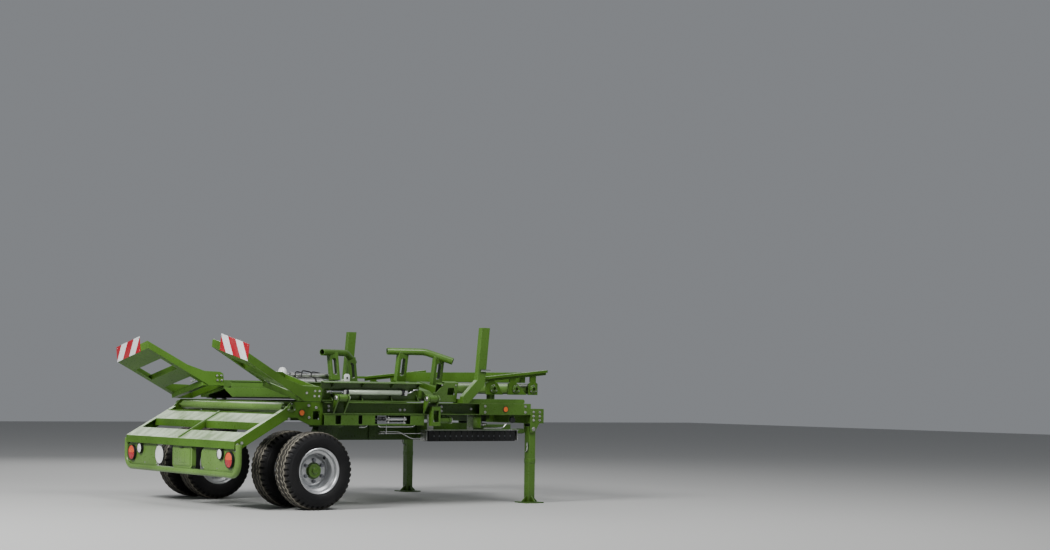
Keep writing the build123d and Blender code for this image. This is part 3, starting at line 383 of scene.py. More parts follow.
red_lens = plastic("red_lens", (0.34, 0.004, 0.009), 0.3, ribs=700.0, coat=0.3)
turn_lens = plastic("turn_lens", (0.6, 0.07, 0.012), 0.3, ribs=700.0, coat=0.3)
orange_lens = plastic("orange_lens", (0.62, 0.125, 0.01), 0.3, ribs=700.0, coat=0.3)
clear_lens = plastic("clear_lens", (0.75, 0.77, 0.76), 0.15, ribs=900.0, coat=0.8)
nylon = plastic("black_nylon", (0.009, 0.009, 0.01), 0.5)
white_sheet = plastic("white_sheet", (0.78, 0.79, 0.78), 0.35, coat=0.2)
print("plastics", [made.name for made in (red_lens, turn_lens, orange_lens, clear_lens, nylon, white_sheet)])

# %% [markdown]
# The boards on the side ramps carry reflecting stripes, red on white, that slant outwards and down on
# both sides of the machine. The distance out from the middle times a slope, plus the height, in bands
# draws both boards with one material, mirrored like the real pair.

# %% Striped boards
stripe_w, stripe_slope, stripe_shift = 0.224, 1.7, 20.556
stripe_red, stripe_white, stripe_grime = (0.36, 0.004, 0.016, 1), (0.74, 0.75, 0.75, 1), (0.3, 0.24, 0.2, 1)


def striped_board():
    """Red and white reflecting sheet with slanting stripes, the same on both sides."""
    made, tree, shader, place = new_finish("striped_sheet")
    where = place.outputs["Object"]
    axes = axes_of(tree, where)
    outwards = maths(tree, "MULTIPLY", maths(tree, "ABSOLUTE", axes["X"]), stripe_slope)
    bands = maths(tree, "DIVIDE", maths(tree, "ADD", outwards, axes["Z"]), 2 * stripe_w)
    phase = maths(tree, "FRACT", maths(tree, "ADD", bands, stripe_shift))
    stripe = stepped(tree, maths(tree, "ABSOLUTE", maths(tree, "SUBTRACT", phase, 0.5)), 0.252, 0.26)
    cells = put(tree, "ShaderNodeTexVoronoi", {"Vector": where, "Scale": 260.0}).outputs["Distance"]
    tone = mixed(tree, stripe, stripe_red, stripe_white)
    grime = stepped(tree, noise(tree, where, 7.0, 6.0), 0.45, 0.8, 0.0, 0.18)
    tone = mixed(tree, grime, tone, stripe_grime)
    surfaced(tree, shader, tone, stepped(tree, cells, 0.0, 0.6, 0.18, 0.35))
    shader.inputs["Specular IOR Level"].default_value = 0.3
    bumped(tree, shader, cells, 0.1, 0.0005)
    return made


stripes = striped_board()
print("stripes ready")

# %% [markdown]
# ## Dress the solids that stay
# The frame, the ramps and the platforms have the right shape already, so they only get a finish. A
# table of name starts and finishes does it, and the last line shows that no node was forgotten.

# %% Give each node its finish
finish_rows = (
    ("", green), ("centre_ramp", slide_green), ("side_ramp", slide_green), ("bale_deck", slide_green),
    ("infeed_frame", slide_green), ("lamp_panels", panel_green), ("tail_box", panel_green),
    ("bumper", panel_green), ("cross_members", shaded_green), ("castor_leg", shaded_green),
    ("turntables", shaded_green), ("drawbar", shaded_green), ("tyre", rubber), ("rim", wheel_silver),
    ("tail_lamps", red_lens), ("turn_lamps", turn_lens), ("marker_lamps", clear_lens),
    ("side_reflectors", orange_lens), ("round_sign", white_sheet), ("warning_board", stripes),
    ("drag_chain", nylon), ("chain_tray", zinc), ("fold_pipe", bright), ("oil_stores", zinc),
    ("valve_block", bright), ("infeed_roller", panel_green), ("rear_roller", panel_green),
)                                     # start of the node's name, finish; later rows win
for name, solid in nodes.items():
    for start, finish in finish_rows:
        if name.startswith(start):
            chosen = finish
    solid.data.materials.clear()
    solid.data.materials.append(chosen)
print("dressed", sum(len(solid.data.materials) == 1 for solid in nodes.values()), "of", len(nodes))

# %% [markdown]
# ## Wheels
# A twin wheel here is an implement tyre on a deep silver rim. The tyre is a ring, so one could spin a
# profile, but the tread isn't round: its grooves zigzag and its shoulders are cut into lugs. So the ring
# is laid out as a grid, with columns across the tyre and steps around it, and each point's radius and
# side place are worked out from where it falls in the tread's repeat.

# %% Grid helper


def solid_mesh(name, verts, faces):
    """A mesh whose faces all look outwards."""
    mesh = bpy.data.meshes.new(name)
    mesh.from_pydata(verts, [], faces)
    work = bmesh.new()
    work.from_mesh(mesh)
    bmesh.ops.recalc_face_normals(work, faces=work.faces)
    work.to_mesh(mesh)
    work.free()
    return mesh


def grid_piece(name, columns, steps, point):
    """A closed ring of quads: point(column, step) gives each corner; columns close on themselves."""
    verts = [point(column, step) for step in range(steps) for column in range(columns)]
    faces = []
    for step in range(steps):
        here, there = step * columns, (step + 1) % steps * columns
        for column in range(columns):
            after = (column + 1) % columns
            faces.append((here + column, here + after, there + after, there + column))
    return in_scene(name, solid_mesh(name, verts, faces))


def smoothed(piece, degrees=38):
    """Shade smoothly, except over edges sharper than the given angle."""
    piece.data.polygons.foreach_set("use_smooth", [True] * len(piece.data.polygons))
    piece.data.set_sharp_from_angle(angle=math.radians(degrees))
    return piece


def finished(piece, finish, body, slot):
    """Give a piece its material and the body it rides on; slot is not used."""
    piece.data.materials.clear()
    piece.data.materials.append(finish)
    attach(piece, body)
    return piece


print("grid helpers ready")

# %% [markdown]
# The tread has two zigzag grooves, a narrow one beside each shoulder, and forty lugs on each shoulder.
# Each column of the table is a line around the tyre: its side place, its radius below the crown, how
# strongly it zigzags and how deep the lug cuts pull it in. Lines of the wall do neither. The tables
# cover one half of the tyre, and the other half mirrors them.

# %% Tyres
tyre_low, tyre_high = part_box("tyre_outer_right")
tyre_r = (tyre_high.z - tyre_low.z) / 2
tread_rows = (
    (0.022, 0.0005, 1.0, 0.0), (0.03, 0.0078, 1.0, 0.0), (0.031, 0.015, 1.0, 0.0),
    (0.037, 0.015, 1.0, 0.0), (0.038, 0.0078, 1.0, 0.0), (0.046, 0.0006, 1.0, 0.0),
    (0.068, 0.0008, 0.8, 0.0), (0.075, 0.0078, 0.8, 0.0), (0.076, 0.015, 0.7, 0.0),
    (0.08, 0.015, 0.6, 0.0), (0.082, 0.003, 0.4, 1.0), (0.106, 0.014, 0.0, 1.0),
    (0.118, 0.03, 0.0, 0.8),
)                                     # side place, drop from the crown, zigzag share, lug cut share
wall_rows = (
    (0.1215, 0.04), (0.1265, 0.056), (0.1275, 0.06), (0.1295, 0.062), (0.1312, 0.078),
    (0.132, 0.095), (0.1312, 0.11), (0.129, 0.122), (0.1262, 0.13), (0.1268, 0.133),
    (0.122, 0.142), (0.115, 0.151), (0.109, 0.156), (0.106, 0.17),
)                                     # side place, drop from the crown
half_rows = list(tread_rows) + [(side, drop, 0.0, 0.0) for side, drop in wall_rows]
tyre_lines = [(-side, *rest) for side, *rest in reversed(half_rows)] + half_rows
lug_count, lug_steps, cut_starts = 40, 8, 0.6           # the cut is the rest of each lug's repeat
zigzag, lug_cut, cut_taper = 0.011, 0.019, 0.004


def tyre_ring(name, middle_x):
    """A ribbed implement tyre around the axle, centred on middle_x."""
    steps = lug_count * lug_steps

    def point(column, step):
        side, drop, wave, cut = tyre_lines[column]
        share = (step % lug_steps) / lug_steps
        sway = zigzag * (4 * abs(share - 0.5) - 1) * wave
        in_cut = share >= cut_starts
        radius = tyre_r - drop - (lug_cut * cut if in_cut else 0)
        across = side + sway - (math.copysign(cut_taper * cut, side) if in_cut else 0)
        turn = 2 * math.pi * step / steps
        return (middle_x + across, axle.y + radius * math.cos(turn), axle.z + radius * math.sin(turn))

    return smoothed(grid_piece(name, len(tyre_lines), steps, point), 28)


wheel_rows = [(place, hand) for hand in ("right", "left") for place in ("inner", "outer")]
for place, hand in wheel_rows:
    low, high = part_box(f"tyre_{place}_{hand}")
    tyre = tyre_ring(f"ribbed_tyre_{place}_{hand}", (low.x + high.x) / 2)
    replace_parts(finished(tyre, rubber, f"wheels_{hand}", "tyre_rubber"), f"tyre_{place}_{hand}")
    print(tyre.name, len(tyre.data.polygons), "faces")

# %% [markdown]
# The rim is a real solid of revolution: pressed sheet with a rolled lip, bead seats, a drop in the
# middle and a dished disc. A lathe helper spins a closed outline of (side, radius) points, with the
# outer side positive. Both lips are alike, so one is the other reversed. The dish is handed, so the
# outline is flipped for wheels on the other side of the leg.

# %% Rims


def lathe(name, outline, middle, hand, steps=96, axis="X"):
    """Spin a closed outline of (along, radius) points about a line through middle."""

    def point(column, step):
        along, radius = outline[column]
        turn = 2 * math.pi * step / steps
        around = (radius * math.cos(turn), radius * math.sin(turn))
        if axis == "X":
            return middle + Vector((hand * along, *around))
        if axis == "Y":
            return middle + Vector((around[0], hand * along, around[1]))
        return middle + Vector((*around, hand * along))

    return smoothed(grid_piece(name, len(outline), steps, point), 32)


def wheel_at(place, hand):
    """Which way a wheel's dish looks along X, and the middle of its rim."""
    sign = (1 if hand == "right" else -1) * (1 if place == "outer" else -1)
    low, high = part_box(f"rim_{place}_{hand}")
    return sign, Vector(((low.x + high.x) / 2, axle.y, axle.z))


lip = ((0.118, 0.215), (0.1195, 0.22), (0.1165, 0.2245), (0.111, 0.225), (0.1075, 0.2225),
       (0.107, 0.213), (0.102, 0.2065))
bead_seat = ((0.08, 0.2035), (0.077, 0.206), (0.074, 0.2035), (0.064, 0.203), (0.054, 0.18),
             (0.0, 0.177), (-0.03, 0.177), (-0.054, 0.179), (-0.064, 0.203))
well = ((-0.108, 0.2), (-0.068, 0.196), (-0.06, 0.172), (-0.044, 0.169), (-0.04, 0.16))
disc = ((-0.034, 0.148), (-0.011, 0.133), (-0.007, 0.127), (-0.01, 0.124), (-0.01, 0.076),
        (0.0, 0.07), (0.0, 0.1235), (0.004, 0.1275), (0.0, 0.134), (-0.023, 0.151),
        (-0.03, 0.162), (-0.03, 0.169), (0.046, 0.17), (0.056, 0.174), (0.067, 0.196),
        (0.1, 0.1985), (0.108, 0.203))
rim_face = lip + bead_seat + tuple((-side, radius) for side, radius in reversed(lip)) + well + disc
for place, hand in wheel_rows:
    sign, middle = wheel_at(place, hand)
    rim = lathe(f"pressed_rim_{place}_{hand}", rim_face, middle, sign)
    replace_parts(finished(rim, wheel_silver, f"wheels_{hand}", "rim_silver"), f"rim_{place}_{hand}")
print("rims", len(rim.data.polygons), "faces each")

# %% [markdown]
# ## Bolts
# Dozens of bolt heads sit on this machine, and each is the same hexagon on a washer. Geometry Nodes
# suit that: the marks are loose points that carry the way they face and a size, one tree puts a bolt
# on each, and the result is turned into a plain mesh for each body that moves. Every such tree starts
# with the marks and named inputs and ends with a copy on each mark, so two helpers write those ends.

# %% Bolt tree


def marks_tree(name, inputs):
    """A tree that takes marks and named inputs, with the inputs' identifiers and its sockets."""
    tree = bpy.data.node_groups.new(name, "GeometryNodeTree")
    tree.interface.new_socket("Geometry", in_out="INPUT", socket_type="NodeSocketGeometry")
    identifiers = [tree.interface.new_socket(label, in_out="INPUT", socket_type=kind).identifier
                   for label, kind in inputs]
    tree.interface.new_socket("Geometry", in_out="OUTPUT", socket_type="NodeSocketGeometry")
    return tree, identifiers, put(tree, "NodeGroupInput").outputs


def told(tree, label, kind):
    """The value that each mark carries under a name."""
    feeds = {"Name": label}
    return put(tree, "GeometryNodeInputNamedAttribute", feeds, data_type=kind).outputs["Attribute"]


def copy_on_marks(tree, marks, feeds):
    """End a tree: a copy on each mark, made real and given its finish."""
    placed = put(tree, "GeometryNodeInstanceOnPoints", {"Points": marks["Geometry"], **feeds})
    solid = put(tree, "GeometryNodeRealizeInstances", {"Geometry": placed.outputs[0]})
    coated = put(tree, "GeometryNodeSetMaterial", {"Geometry": solid.outputs[0], "Material": marks["Finish"]})
    put(tree, "NodeGroupOutput", {"Geometry": coated.outputs[0]})


bolt_tree, bolt_inputs, marks = marks_tree("bolts_on_marks", (
    ("Across flats", "NodeSocketFloat"), ("Head height", "NodeSocketFloat"), ("Washer", "NodeSocketFloat"),
    ("Finish", "NodeSocketMaterial")))
corner_share, washer_thick = 0.577, 0.004               # corner radius of a hexagon 1 across its flats
radius = maths(bolt_tree, "MULTIPLY", marks["Across flats"], corner_share)
head = put(bolt_tree, "GeometryNodeMeshCylinder",
           {"Vertices": 6, "Radius": radius, "Depth": marks["Head height"]}).outputs["Mesh"]
lift = put(bolt_tree, "ShaderNodeCombineXYZ", {"Z": maths(bolt_tree, "MULTIPLY", marks["Head height"], 0.6)})
head = put(bolt_tree, "GeometryNodeTransform", {"Geometry": head, "Translation": lift.outputs[0]}).outputs[0]
washer = put(bolt_tree, "GeometryNodeMeshCylinder",
             {"Vertices": 14, "Radius": marks["Washer"], "Depth": washer_thick}).outputs["Mesh"]
bolt = put(bolt_tree, "GeometryNodeJoinGeometry")
for shape in (head, washer):
    bolt_tree.links.new(shape, bolt.inputs[0])
facing = {"Vector": told(bolt_tree, "facing", "FLOAT_VECTOR")}
turned = put(bolt_tree, "FunctionNodeAlignRotationToVector", facing, axis="Z")
copy_on_marks(bolt_tree, marks, {"Instance": bolt.outputs[0], "Rotation": turned.outputs[0],
                                 "Scale": told(bolt_tree, "size", "FLOAT")})
print("bolt tree", len(bolt_tree.nodes), "nodes")

# %% [markdown]
# A tree's inputs have names for people and identifiers for scripts. The helper sets them by identifier
# before anything is evaluated, asks Blender for the evaluated mesh, and throws the live object away, so
# what is left is an ordinary piece.

# %% Run a tree into a plain piece


def evaluated_mesh(live):
    """The mesh that an object has after its modifiers or its curve's thickness."""
    bpy.context.view_layer.update()
    return bpy.data.meshes.new_from_object(live.evaluated_get(bpy.context.evaluated_depsgraph_get()))


def plain_piece(name, live):
    """Swap a live object for a piece that has its evaluated mesh."""
    mesh = evaluated_mesh(live)
    mesh.name = name
    bpy.data.objects.remove(live)
    return in_scene(name, mesh)


def grown(name, rows, labels, tree, values):
    """Run a tree on rows of (point, value, ...), with the values told under the labels' names."""
    source = bpy.data.meshes.new(name)
    source.from_pydata([row[0] for row in rows], [], [])
    for place, (label, kind, part) in enumerate(labels, 1):
        spots = source.attributes.new(label, kind, "POINT").data
        for spot, row in zip(spots, rows):
            setattr(spot, part, row[place] if len(row) > place else 1.0)
    live = in_scene("live", source)
    modifier = live.modifiers.new("tree", "NODES")
    modifier.node_group = tree
    for identifier, value in values.items():
        modifier[identifier] = value
    return plain_piece(name, live)


bolt_labels = (("facing", "FLOAT_VECTOR", "vector"), ("size", "FLOAT", "value"))


def bolts(name, body, rows, flats=0.019, height=0.011, washer=0.014, finish=zinc, slot="zinc_steel"):
    """Bolt heads at rows of (point, way it faces) or (point, way it faces, size)."""
    values = dict(zip(bolt_inputs, (flats, height, washer, finish)))
    print(name, len(rows), "bolts")
    return finished(grown(name, rows, bolt_labels, bolt_tree, values), finish, body, slot)


def mirrored(rows, hand):
    """Rows of (point, way, ...) for the right side, or for the left one when hand is -1."""
    return [(Vector((hand * point.x, point.y, point.z)), (hand * way[0], way[1], way[2]), *rest)
            for point, way, *rest in rows]


def both_sides(rows):
    """The rows and their mirror images across the middle of the machine."""
    return mirrored(rows, 1) + mirrored(rows, -1)


# %% [markdown]
# Six nuts hold each rim to its hub. They sit on a 205 mm circle on the disc, facing outwards from the
# leg, with a stud end standing proud of each nut. A small head sits in the well of the rim. The hub
# cap between the nuts is a shallow green cup.

# %% Wheel nuts, studs and caps
stud_circle, stud_count = 0.1025, 6
well_r, well_turn = 0.172, 1.0
cap_face = ((0.0, 0.082), (0.004, 0.082), (0.0055, 0.073), (0.023, 0.0712), (0.029, 0.068),
            (0.031, 0.059), (0.029, 0.055), (0.0285, 0.04), (0.031, 0.033), (0.04, 0.028),
            (0.043, 0.018), (0.0435, 0.002), (0.027, 0.002))
for hand in ("right", "left"):
    rows, studs, body = [], [], f"wheels_{hand}"
    for place in ("inner", "outer"):
        sign, middle = wheel_at(place, hand)
        outwards = (sign, 0, 0)
        for stud in range(stud_count):
            turn = math.radians(360 / stud_count * stud + 30)
            spoke = Vector((0, math.cos(turn), math.sin(turn))) * stud_circle
            rows.append((middle + spoke + Vector((sign * 0.002, 0, 0)), outwards))
            studs.append((middle + spoke + Vector((sign * 0.016, 0, 0)), outwards, 0.55))
        cap = lathe(f"hub_cap_{place}_{hand}", cap_face, middle, sign, 48)
        finished(cap, green, body, "green_paint")
        along, rise = math.cos(well_turn), math.sin(well_turn)
        in_well = middle + Vector((sign * 0.05, well_r * along, well_r * rise))
        rows.append((in_well, (sign * 0.2, -along, -rise), 0.45))
    bolts(f"wheel_nuts_{hand}", body, rows, 0.03, 0.024, 0.0195, nut_steel)
    bolts(f"wheel_studs_{hand}", body, studs, 0.022, 0.03, 0.01, nut_steel)

# %% [markdown]
# ## Shaping helpers
# The small parts are plates, blocks and bars with soft corners. Three helpers make them: a plate is a
# closed outline with thickness, a block is a box between two corners, and a bar follows points with a
# round section. A bevel on the edges catches the light, which is what makes small parts look real. A
# fourth helper makes one piece of several.

# %% Plates, blocks and bars


def softened(piece, width, segments=2):
    """Round the edges of a piece and turn the result into its plain mesh."""
    if width:
        bevel = piece.modifiers.new("soft edges", "BEVEL")
        bevel.width, bevel.segments, bevel.limit_method = width, segments, "ANGLE"
        rounded = evaluated_mesh(piece)
        piece.modifiers.clear()
        piece.data = rounded
    return smoothed(piece)


def plate_piece(name, corners, push, bevel=0.002):
    """A closed outline of points pushed by a vector into a solid plate."""
    count = len(corners)
    verts = [Vector(corner) for corner in corners] + [Vector(corner) + Vector(push) for corner in corners]
    faces = [tuple(range(count)), tuple(range(count, 2 * count))]
    faces += [(k, (k + 1) % count, (k + 1) % count + count, k + count) for k in range(count)]
    return softened(in_scene(name, solid_mesh(name, verts, faces)), bevel)


def block_piece(name, low, high, bevel=0.003):
    """A box between two corners, with soft edges."""
    low, high = Vector(low), Vector(high)
    corners = [(low.x, low.y, low.z), (high.x, low.y, low.z), (high.x, high.y, low.z), (low.x, high.y, low.z)]
    return plate_piece(name, corners, (0, 0, high.z - low.z), bevel)


def bar_piece(name, points, radius, turn=0.0, sides=5):
    """A round bar or pipe along points; turn is how far each corner is rounded off."""
    path = [Vector(points[0])]
    for before, corner, after in zip(points, points[1:], points[2:]):
        corner = Vector(corner)
        back, on = (Vector(before) - corner), (Vector(after) - corner)
        for share in (0.0, 0.25, 0.5, 0.75, 1.0):
            first = corner + back.normalized() * min(turn, back.length / 2) * (1 - share)
            second = corner + on.normalized() * min(turn, on.length / 2) * share
            path.append(first.lerp(second, share))
    path.append(Vector(points[-1]))
    curve = bpy.data.curves.new(name, "CURVE")
    curve.dimensions, curve.bevel_depth, curve.bevel_resolution = "3D", radius, sides
    curve.use_fill_caps = True
    run = curve.splines.new("POLY")
    run.points.add(len(path) - 1)
    for place, point in zip(run.points, path):
        place.co = (*point, 1)
    return smoothed(plain_piece(name, in_scene("live", curve)), 45)


def joined(name, pieces):
    """Several pieces as one."""
    work = bmesh.new()
    for piece in pieces:
        work.from_mesh(piece.data)
        bpy.data.objects.remove(piece)
    mesh = bpy.data.meshes.new(name)
    work.to_mesh(mesh)
    work.free()
    return smoothed(in_scene(name, mesh))


print("shaping helpers ready")

# %% [markdown]
# Two small things use these helpers at once: the valve stem that looks out of the well of each rim,
# and the flat bar that lies along the middle of the centre ramp, over both cross boards.

# %% Valve stems and the bar on the ramp
stem_out, stem_turn, stem_radii = 0.024, math.radians(50), (0.172, 0.152)
for hand in ("right", "left"):
    stems = []
    for place in ("inner", "outer"):
        sign, middle = wheel_at(place, hand)
        line = [middle + Vector((sign * stem_out, r * math.cos(stem_turn), r * math.sin(stem_turn)))
                for r in stem_radii]
        stems.append(bar_piece("stem", line, 0.014))
    finished(joined(f"valve_stems_{hand}", stems), nylon, f"wheels_{hand}", "black_plastic")
ramp_y, ramp_z, ramp_slope = -0.822, 0.665, 0.5752
ramp_line = [(y, ramp_z + ramp_slope * (y - ramp_y)) for y in (-0.816, -0.808, -0.362, -0.354)]
ramp_edge = [(y, z + lift) for (y, z), lift in zip(ramp_line, (0.004, 0.012, 0.012, 0.004))]
bar_x, bar_thick = -0.017, 0.01
bar_top = [at(bar_x, y, z) for y, z in ramp_edge]
bar_under = [at(bar_x, y, z - bar_thick) for y, z in reversed(ramp_line)]
ramp_bar = plate_piece("ramp_bar", bar_top + bar_under, (-2 * bar_x, 0, 0), 0.002)
finished(ramp_bar, green, "root", "green_paint")
print("valve stems", 2 * len(stems), "and the ramp bar")

# %% [markdown]
# ## The tail
# Each lamp sits in a black rubber ring, and the two-colour pair has a bar between its halves. A ring is
# one more closed outline for the lathe, spun about the line the lamp looks along.

# %% Rings round the lamps and the round sign
lamp_low, lamp_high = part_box("tail_lamps")
panel_low, panel_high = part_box("lamp_panels")
lamp_face, panel_face, lamp_split = lamp_low.y, panel_low.y, lamp_high.z
ring_deep = panel_face - lamp_face + 0.004
lamp_in, marker_in, marker_up = 0.072, 0.19, 0.05     # from the pair's edge, and from its middle


def ring(name, middle, inner, wall, deep, hand, axis="Y"):
    """A soft-edged ring that stands out from a face."""
    soft = min(wall, deep) * 0.3
    outline = ((0, inner), (0, inner + wall), (deep - soft, inner + wall), (deep, inner + wall - soft),
               (deep, inner + soft), (deep - soft, inner))
    return lathe(name, outline, middle, hand, 48, axis)


lamp_rings = []
for hand in (-1, 1):
    lamp_x = hand * (lamp_high.x - lamp_in)
    marker = Vector((lamp_x - hand * marker_in, panel_face, lamp_split + marker_up))
    lamp_rings.append(ring("ring", Vector((lamp_x, panel_face, lamp_split)), 0.0725, 0.007, ring_deep, -1))
    lamp_rings.append(block_piece("bar", (lamp_x - 0.071, lamp_face - 0.003, lamp_split - 0.0035),
                                  (lamp_x + 0.071, lamp_face + 0.004, lamp_split + 0.0035), 0.001))
    lamp_rings.append(ring("ring", marker, 0.0465, 0.006, ring_deep, -1))
finished(joined("lamp_rings", lamp_rings), nylon, "root", "black_plastic")
sign_low, sign_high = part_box("round_sign")
sign_mid, sign_r = (sign_low + sign_high) / 2, (sign_high.x - sign_low.x) / 2
sign_ring = ring("sign_ring", Vector((sign_mid.x, panel_face, sign_mid.z)), sign_r + 0.0005, 0.004, 0.006, -1)
finished(sign_ring, nylon, "root", "black_plastic")
print("lamp rings", lamp_face, panel_face)

# %% [markdown]
# The lenses themselves bulge a little. A shallow dome over each lamp carries the ribs of the finish,
# and a half dome is the same dome cut at the bar, so one grid of points from pole to rim does both.

# %% Domed lenses


def dome(middle, radius, bulge, start, sweep):
    """A shallow shell that bulges backwards over part of a circle; the lamp's solid is behind it."""
    rings_out, around = 6, 24
    verts = [Vector(middle) + Vector((0, -bulge, 0))]
    for out in range(1, rings_out + 1):
        share = out / rings_out
        for step in range(around + 1):
            turn = start + sweep * step / around
            flat = Vector((math.cos(turn), 0, math.sin(turn))) * radius * share
            verts.append(Vector(middle) + flat + Vector((0, -bulge * math.cos(share * math.pi / 2), 0)))
    faces = [(0, 1 + step, 2 + step) for step in range(around)]
    for out in range(rings_out - 1):
        for step in range(around):
            near = 1 + out * (around + 1) + step
            faces.append((near, near + around + 1, near + around + 2, near + 1))
    mesh = bpy.data.meshes.new("dome")
    mesh.from_pydata(verts, [], faces)
    return in_scene("dome", mesh)


lens_rows = (
    ("red_domes", red_lens, "red_lens", 0.0, 0.0, 0.07, math.pi, math.pi),
    ("orange_domes", turn_lens, "orange_lens", 0.0, 0.0, 0.07, 0.0, math.pi),
    ("marker_domes", clear_lens, "white_lens", marker_in, marker_up, 0.045, 0.0, 2 * math.pi),
)                                     # name, finish, slot, inwards, up, radius, start, sweep
for name, finish, slot, inwards, rise, radius, start, sweep in lens_rows:
    domes = []
    for hand in (-1, 1):
        middle = (hand * (lamp_high.x - lamp_in - inwards), lamp_face - 0.0004, lamp_split + rise)
        domes.append(dome(middle, radius, 0.009, start, sweep))
    finished(joined(name, domes), finish, "root", slot)
print("domes", len(lens_rows))

# %% [markdown]
# The box between the lamp panels is a folded cover: a lid with a rolled edge, a raised field in its
# middle and a small grip on top. Screws hold the panels to the bumper tube.

# %% Tail cover and panel screws
cover_low, cover_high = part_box("tail_box")
cover_x, cover_y = (cover_low.x + cover_high.x) / 2, cover_low.y
lid = [block_piece("lid", (cover_low.x + 0.035, cover_y - 0.006, cover_low.z + 0.022),
                   (cover_high.x - 0.035, cover_y + 0.004, cover_high.z - 0.022), 0.005),
       block_piece("field", (cover_x - 0.07, cover_y - 0.01, cover_low.z + 0.055),
                   (cover_x + 0.07, cover_y - 0.003, cover_high.z - 0.05), 0.003)]
finished(joined("tail_lid", lid), panel_green, "root", "green_paint")
grip_line = [(cover_x + dx, cover_y + dy, cover_high.z - 0.018)
             for dx, dy in ((-0.03, 0.006), (-0.03, -0.016), (0.03, -0.016), (0.03, 0.006))]
grip = bar_piece("tail_grip", grip_line, 0.004, 0.008, 3)
finished(grip, nylon, "root", "black_plastic")
screw_rows = [(Vector((x, panel_face, z)), (0, -1, 0), 0.6)
              for x in (0.52, 0.8, 1.165) for z in (panel_low.z + 0.022, panel_high.z - 0.022)]
bolts("panel_screws", "root", both_sides(screw_rows), 0.016, 0.007, 0.012)

# %% [markdown]
# The side reflectors get the same rings, turned to look sideways.

# %% Rings round the side reflectors
reflector_places = ((1.2, -0.29 / 3, 0.941), (1.24, 2.321, 0.989))
side_rings = [ring("ring", at(hand * x, y, z), 0.0272, 0.004, 0.01, hand, "X")
              for hand in (-1, 1) for x, y, z in reflector_places]
finished(joined("reflector_rings", side_rings), nylon, "root", "black_plastic")
print("reflector rings", len(side_rings))

# %% [markdown]
# ## Bolts on the frame
# The white heads in the photograph are bolts on the cheeks of the ramp, the side beams, the hinge
# lugs and the coupling. Each row says where a bolt is and which way it faces; the right side's rows
# are mirrored to the left.

# %% Frame bolts
sideways = (1, 0, 0)
bolt_places = {
    1.2: ((-0.018, 1.013), (0.065, 0.992), (-0.014, 0.895), (-0.236, 0.88), (-0.79, 0.632),
            (-0.745, 0.65), (-0.78, 0.602)),
    1.168: ((0.224, 1.009), (0.224, 0.966), (1.057, 0.975), (1.112, 0.975), (1.56, 1.009),
            (1.56, 0.966), (1.93, 0.989)),
    1.24: ((2.06, 1.02), (2.06, 0.958), (2.58, 1.02), (2.58, 0.958), (2.69, 0.962),
            (2.69, 0.919), (2.69, 0.876), (2.77, 0.962), (2.77, 0.919), (2.77, 0.876)),
}                                     # the face's x: the y and z of its bolts
frame_rows = [(at(x, y, z), sideways) for x, places in bolt_places.items() for y, z in places]
bolts("frame_bolts", "root", both_sides(frame_rows))

# %% [markdown]
# The fold turns on thick pins through the lugs. A pin has a domed head at one end and a washer with a
# split pin at the other, so both ends get a large bolt from the same tree, in plain steel. The pins of
# the parking legs and the nuts on the kingpins are made the same way.

# %% Hinge, leg and kingpins
hinge = Vector((1.3, 0, 1.091))
pin_rows = [(at(hinge.x, middle + way * 0.068, hinge.z), (0, way, 0))
            for middle in (0.3, 1.36) for way in (-1, 1)]
bolts("hinge_pins", "root", both_sides(pin_rows), 0.036, 0.014, 0.029)
leg_pin_rows = [(at(1.18 + way * 0.06, 2.692, 0.782), (way, 0, 0)) for way in (-1, 1)]
bolts("leg_pins", "root", both_sides(leg_pin_rows), 0.028, 0.012, 0.024)
kingpin_rows = [(at(1.036, 0.28, 0.8365), (0, 0, 1))]
bolts("kingpin_nuts", "root", both_sides(kingpin_rows), 0.05, 0.018, 0.046)

# %% [markdown]
# ## Rollers
# The infeed rollers turn in flanged bearings on the hanging plates. A bearing is a round housing with
# a raised middle around the shaft, held by three bolts. The rear roller has the same bearings on the
# cheeks.

# %% Bearings
bearing_face = ((0, 0.017), (0, 0.046), (0.006, 0.046), (0.009, 0.043), (0.011, 0.031),
                (0.018, 0.029), (0.02, 0.026), (0.02, 0.02), (0.014, 0.017))
bearing_places = [(1.17, y, 1.202) for y in (2.214, 2.504, 2.73)] + [(1.2, -0.214, 0.99)]
flange, bolt_circle = 0.007, 0.037
housings, bearing_rows = [], []
for x, y, z in bearing_places:
    for hand in (-1, 1):
        housings.append(lathe("housing", bearing_face, at(hand * x, y, z), hand, 40))
    for corner in range(3):
        turn = math.radians(90 + 120 * corner)
        bolt_place = at(x + flange, y + bolt_circle * math.cos(turn), z + bolt_circle * math.sin(turn))
        bearing_rows.append((bolt_place, sideways, 0.8))
finished(joined("bearing_housings", housings), green, "root", "green_paint")
bolts("bearing_bolts", "root", both_sides(bearing_rows), 0.016, 0.009, 0.012)

# %% [markdown]
# Each roller is a tube with a welded end disc on a thinner shaft, which shows as a shallow step at its
# ends. The discs ride on their roller's own body, so they turn with it.

# %% Roller ends
end_face = ((0, 0.016), (0, 0.044), (0.004, 0.044), (0.006, 0.04), (0.006, 0.03), (0.011, 0.026),
            (0.011, 0.016))
shaft_r = 0.02
roller_rows = [(f"infeed_roller_{number}", f"infeed_roll_{number}", 1.0, 1.116) for number in (1, 2, 3)]
roller_rows.append(("rear_roller", "rear_roll", 0.84, 1.08))   # name, body, share of the face, reach
for name, body, share, reach in roller_rows:
    low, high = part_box(name)
    middle = (low + high) / 2
    face = [(along, radius * share if radius > shaft_r else radius) for along, radius in end_face]
    discs = [lathe("disc", face, Vector((hand * reach, middle.y, middle.z)), hand, 40) for hand in (-1, 1)]
    finished(joined(f"{name}_ends", discs), shaded_green, body, "green_paint")
print("roller ends", len(roller_rows))

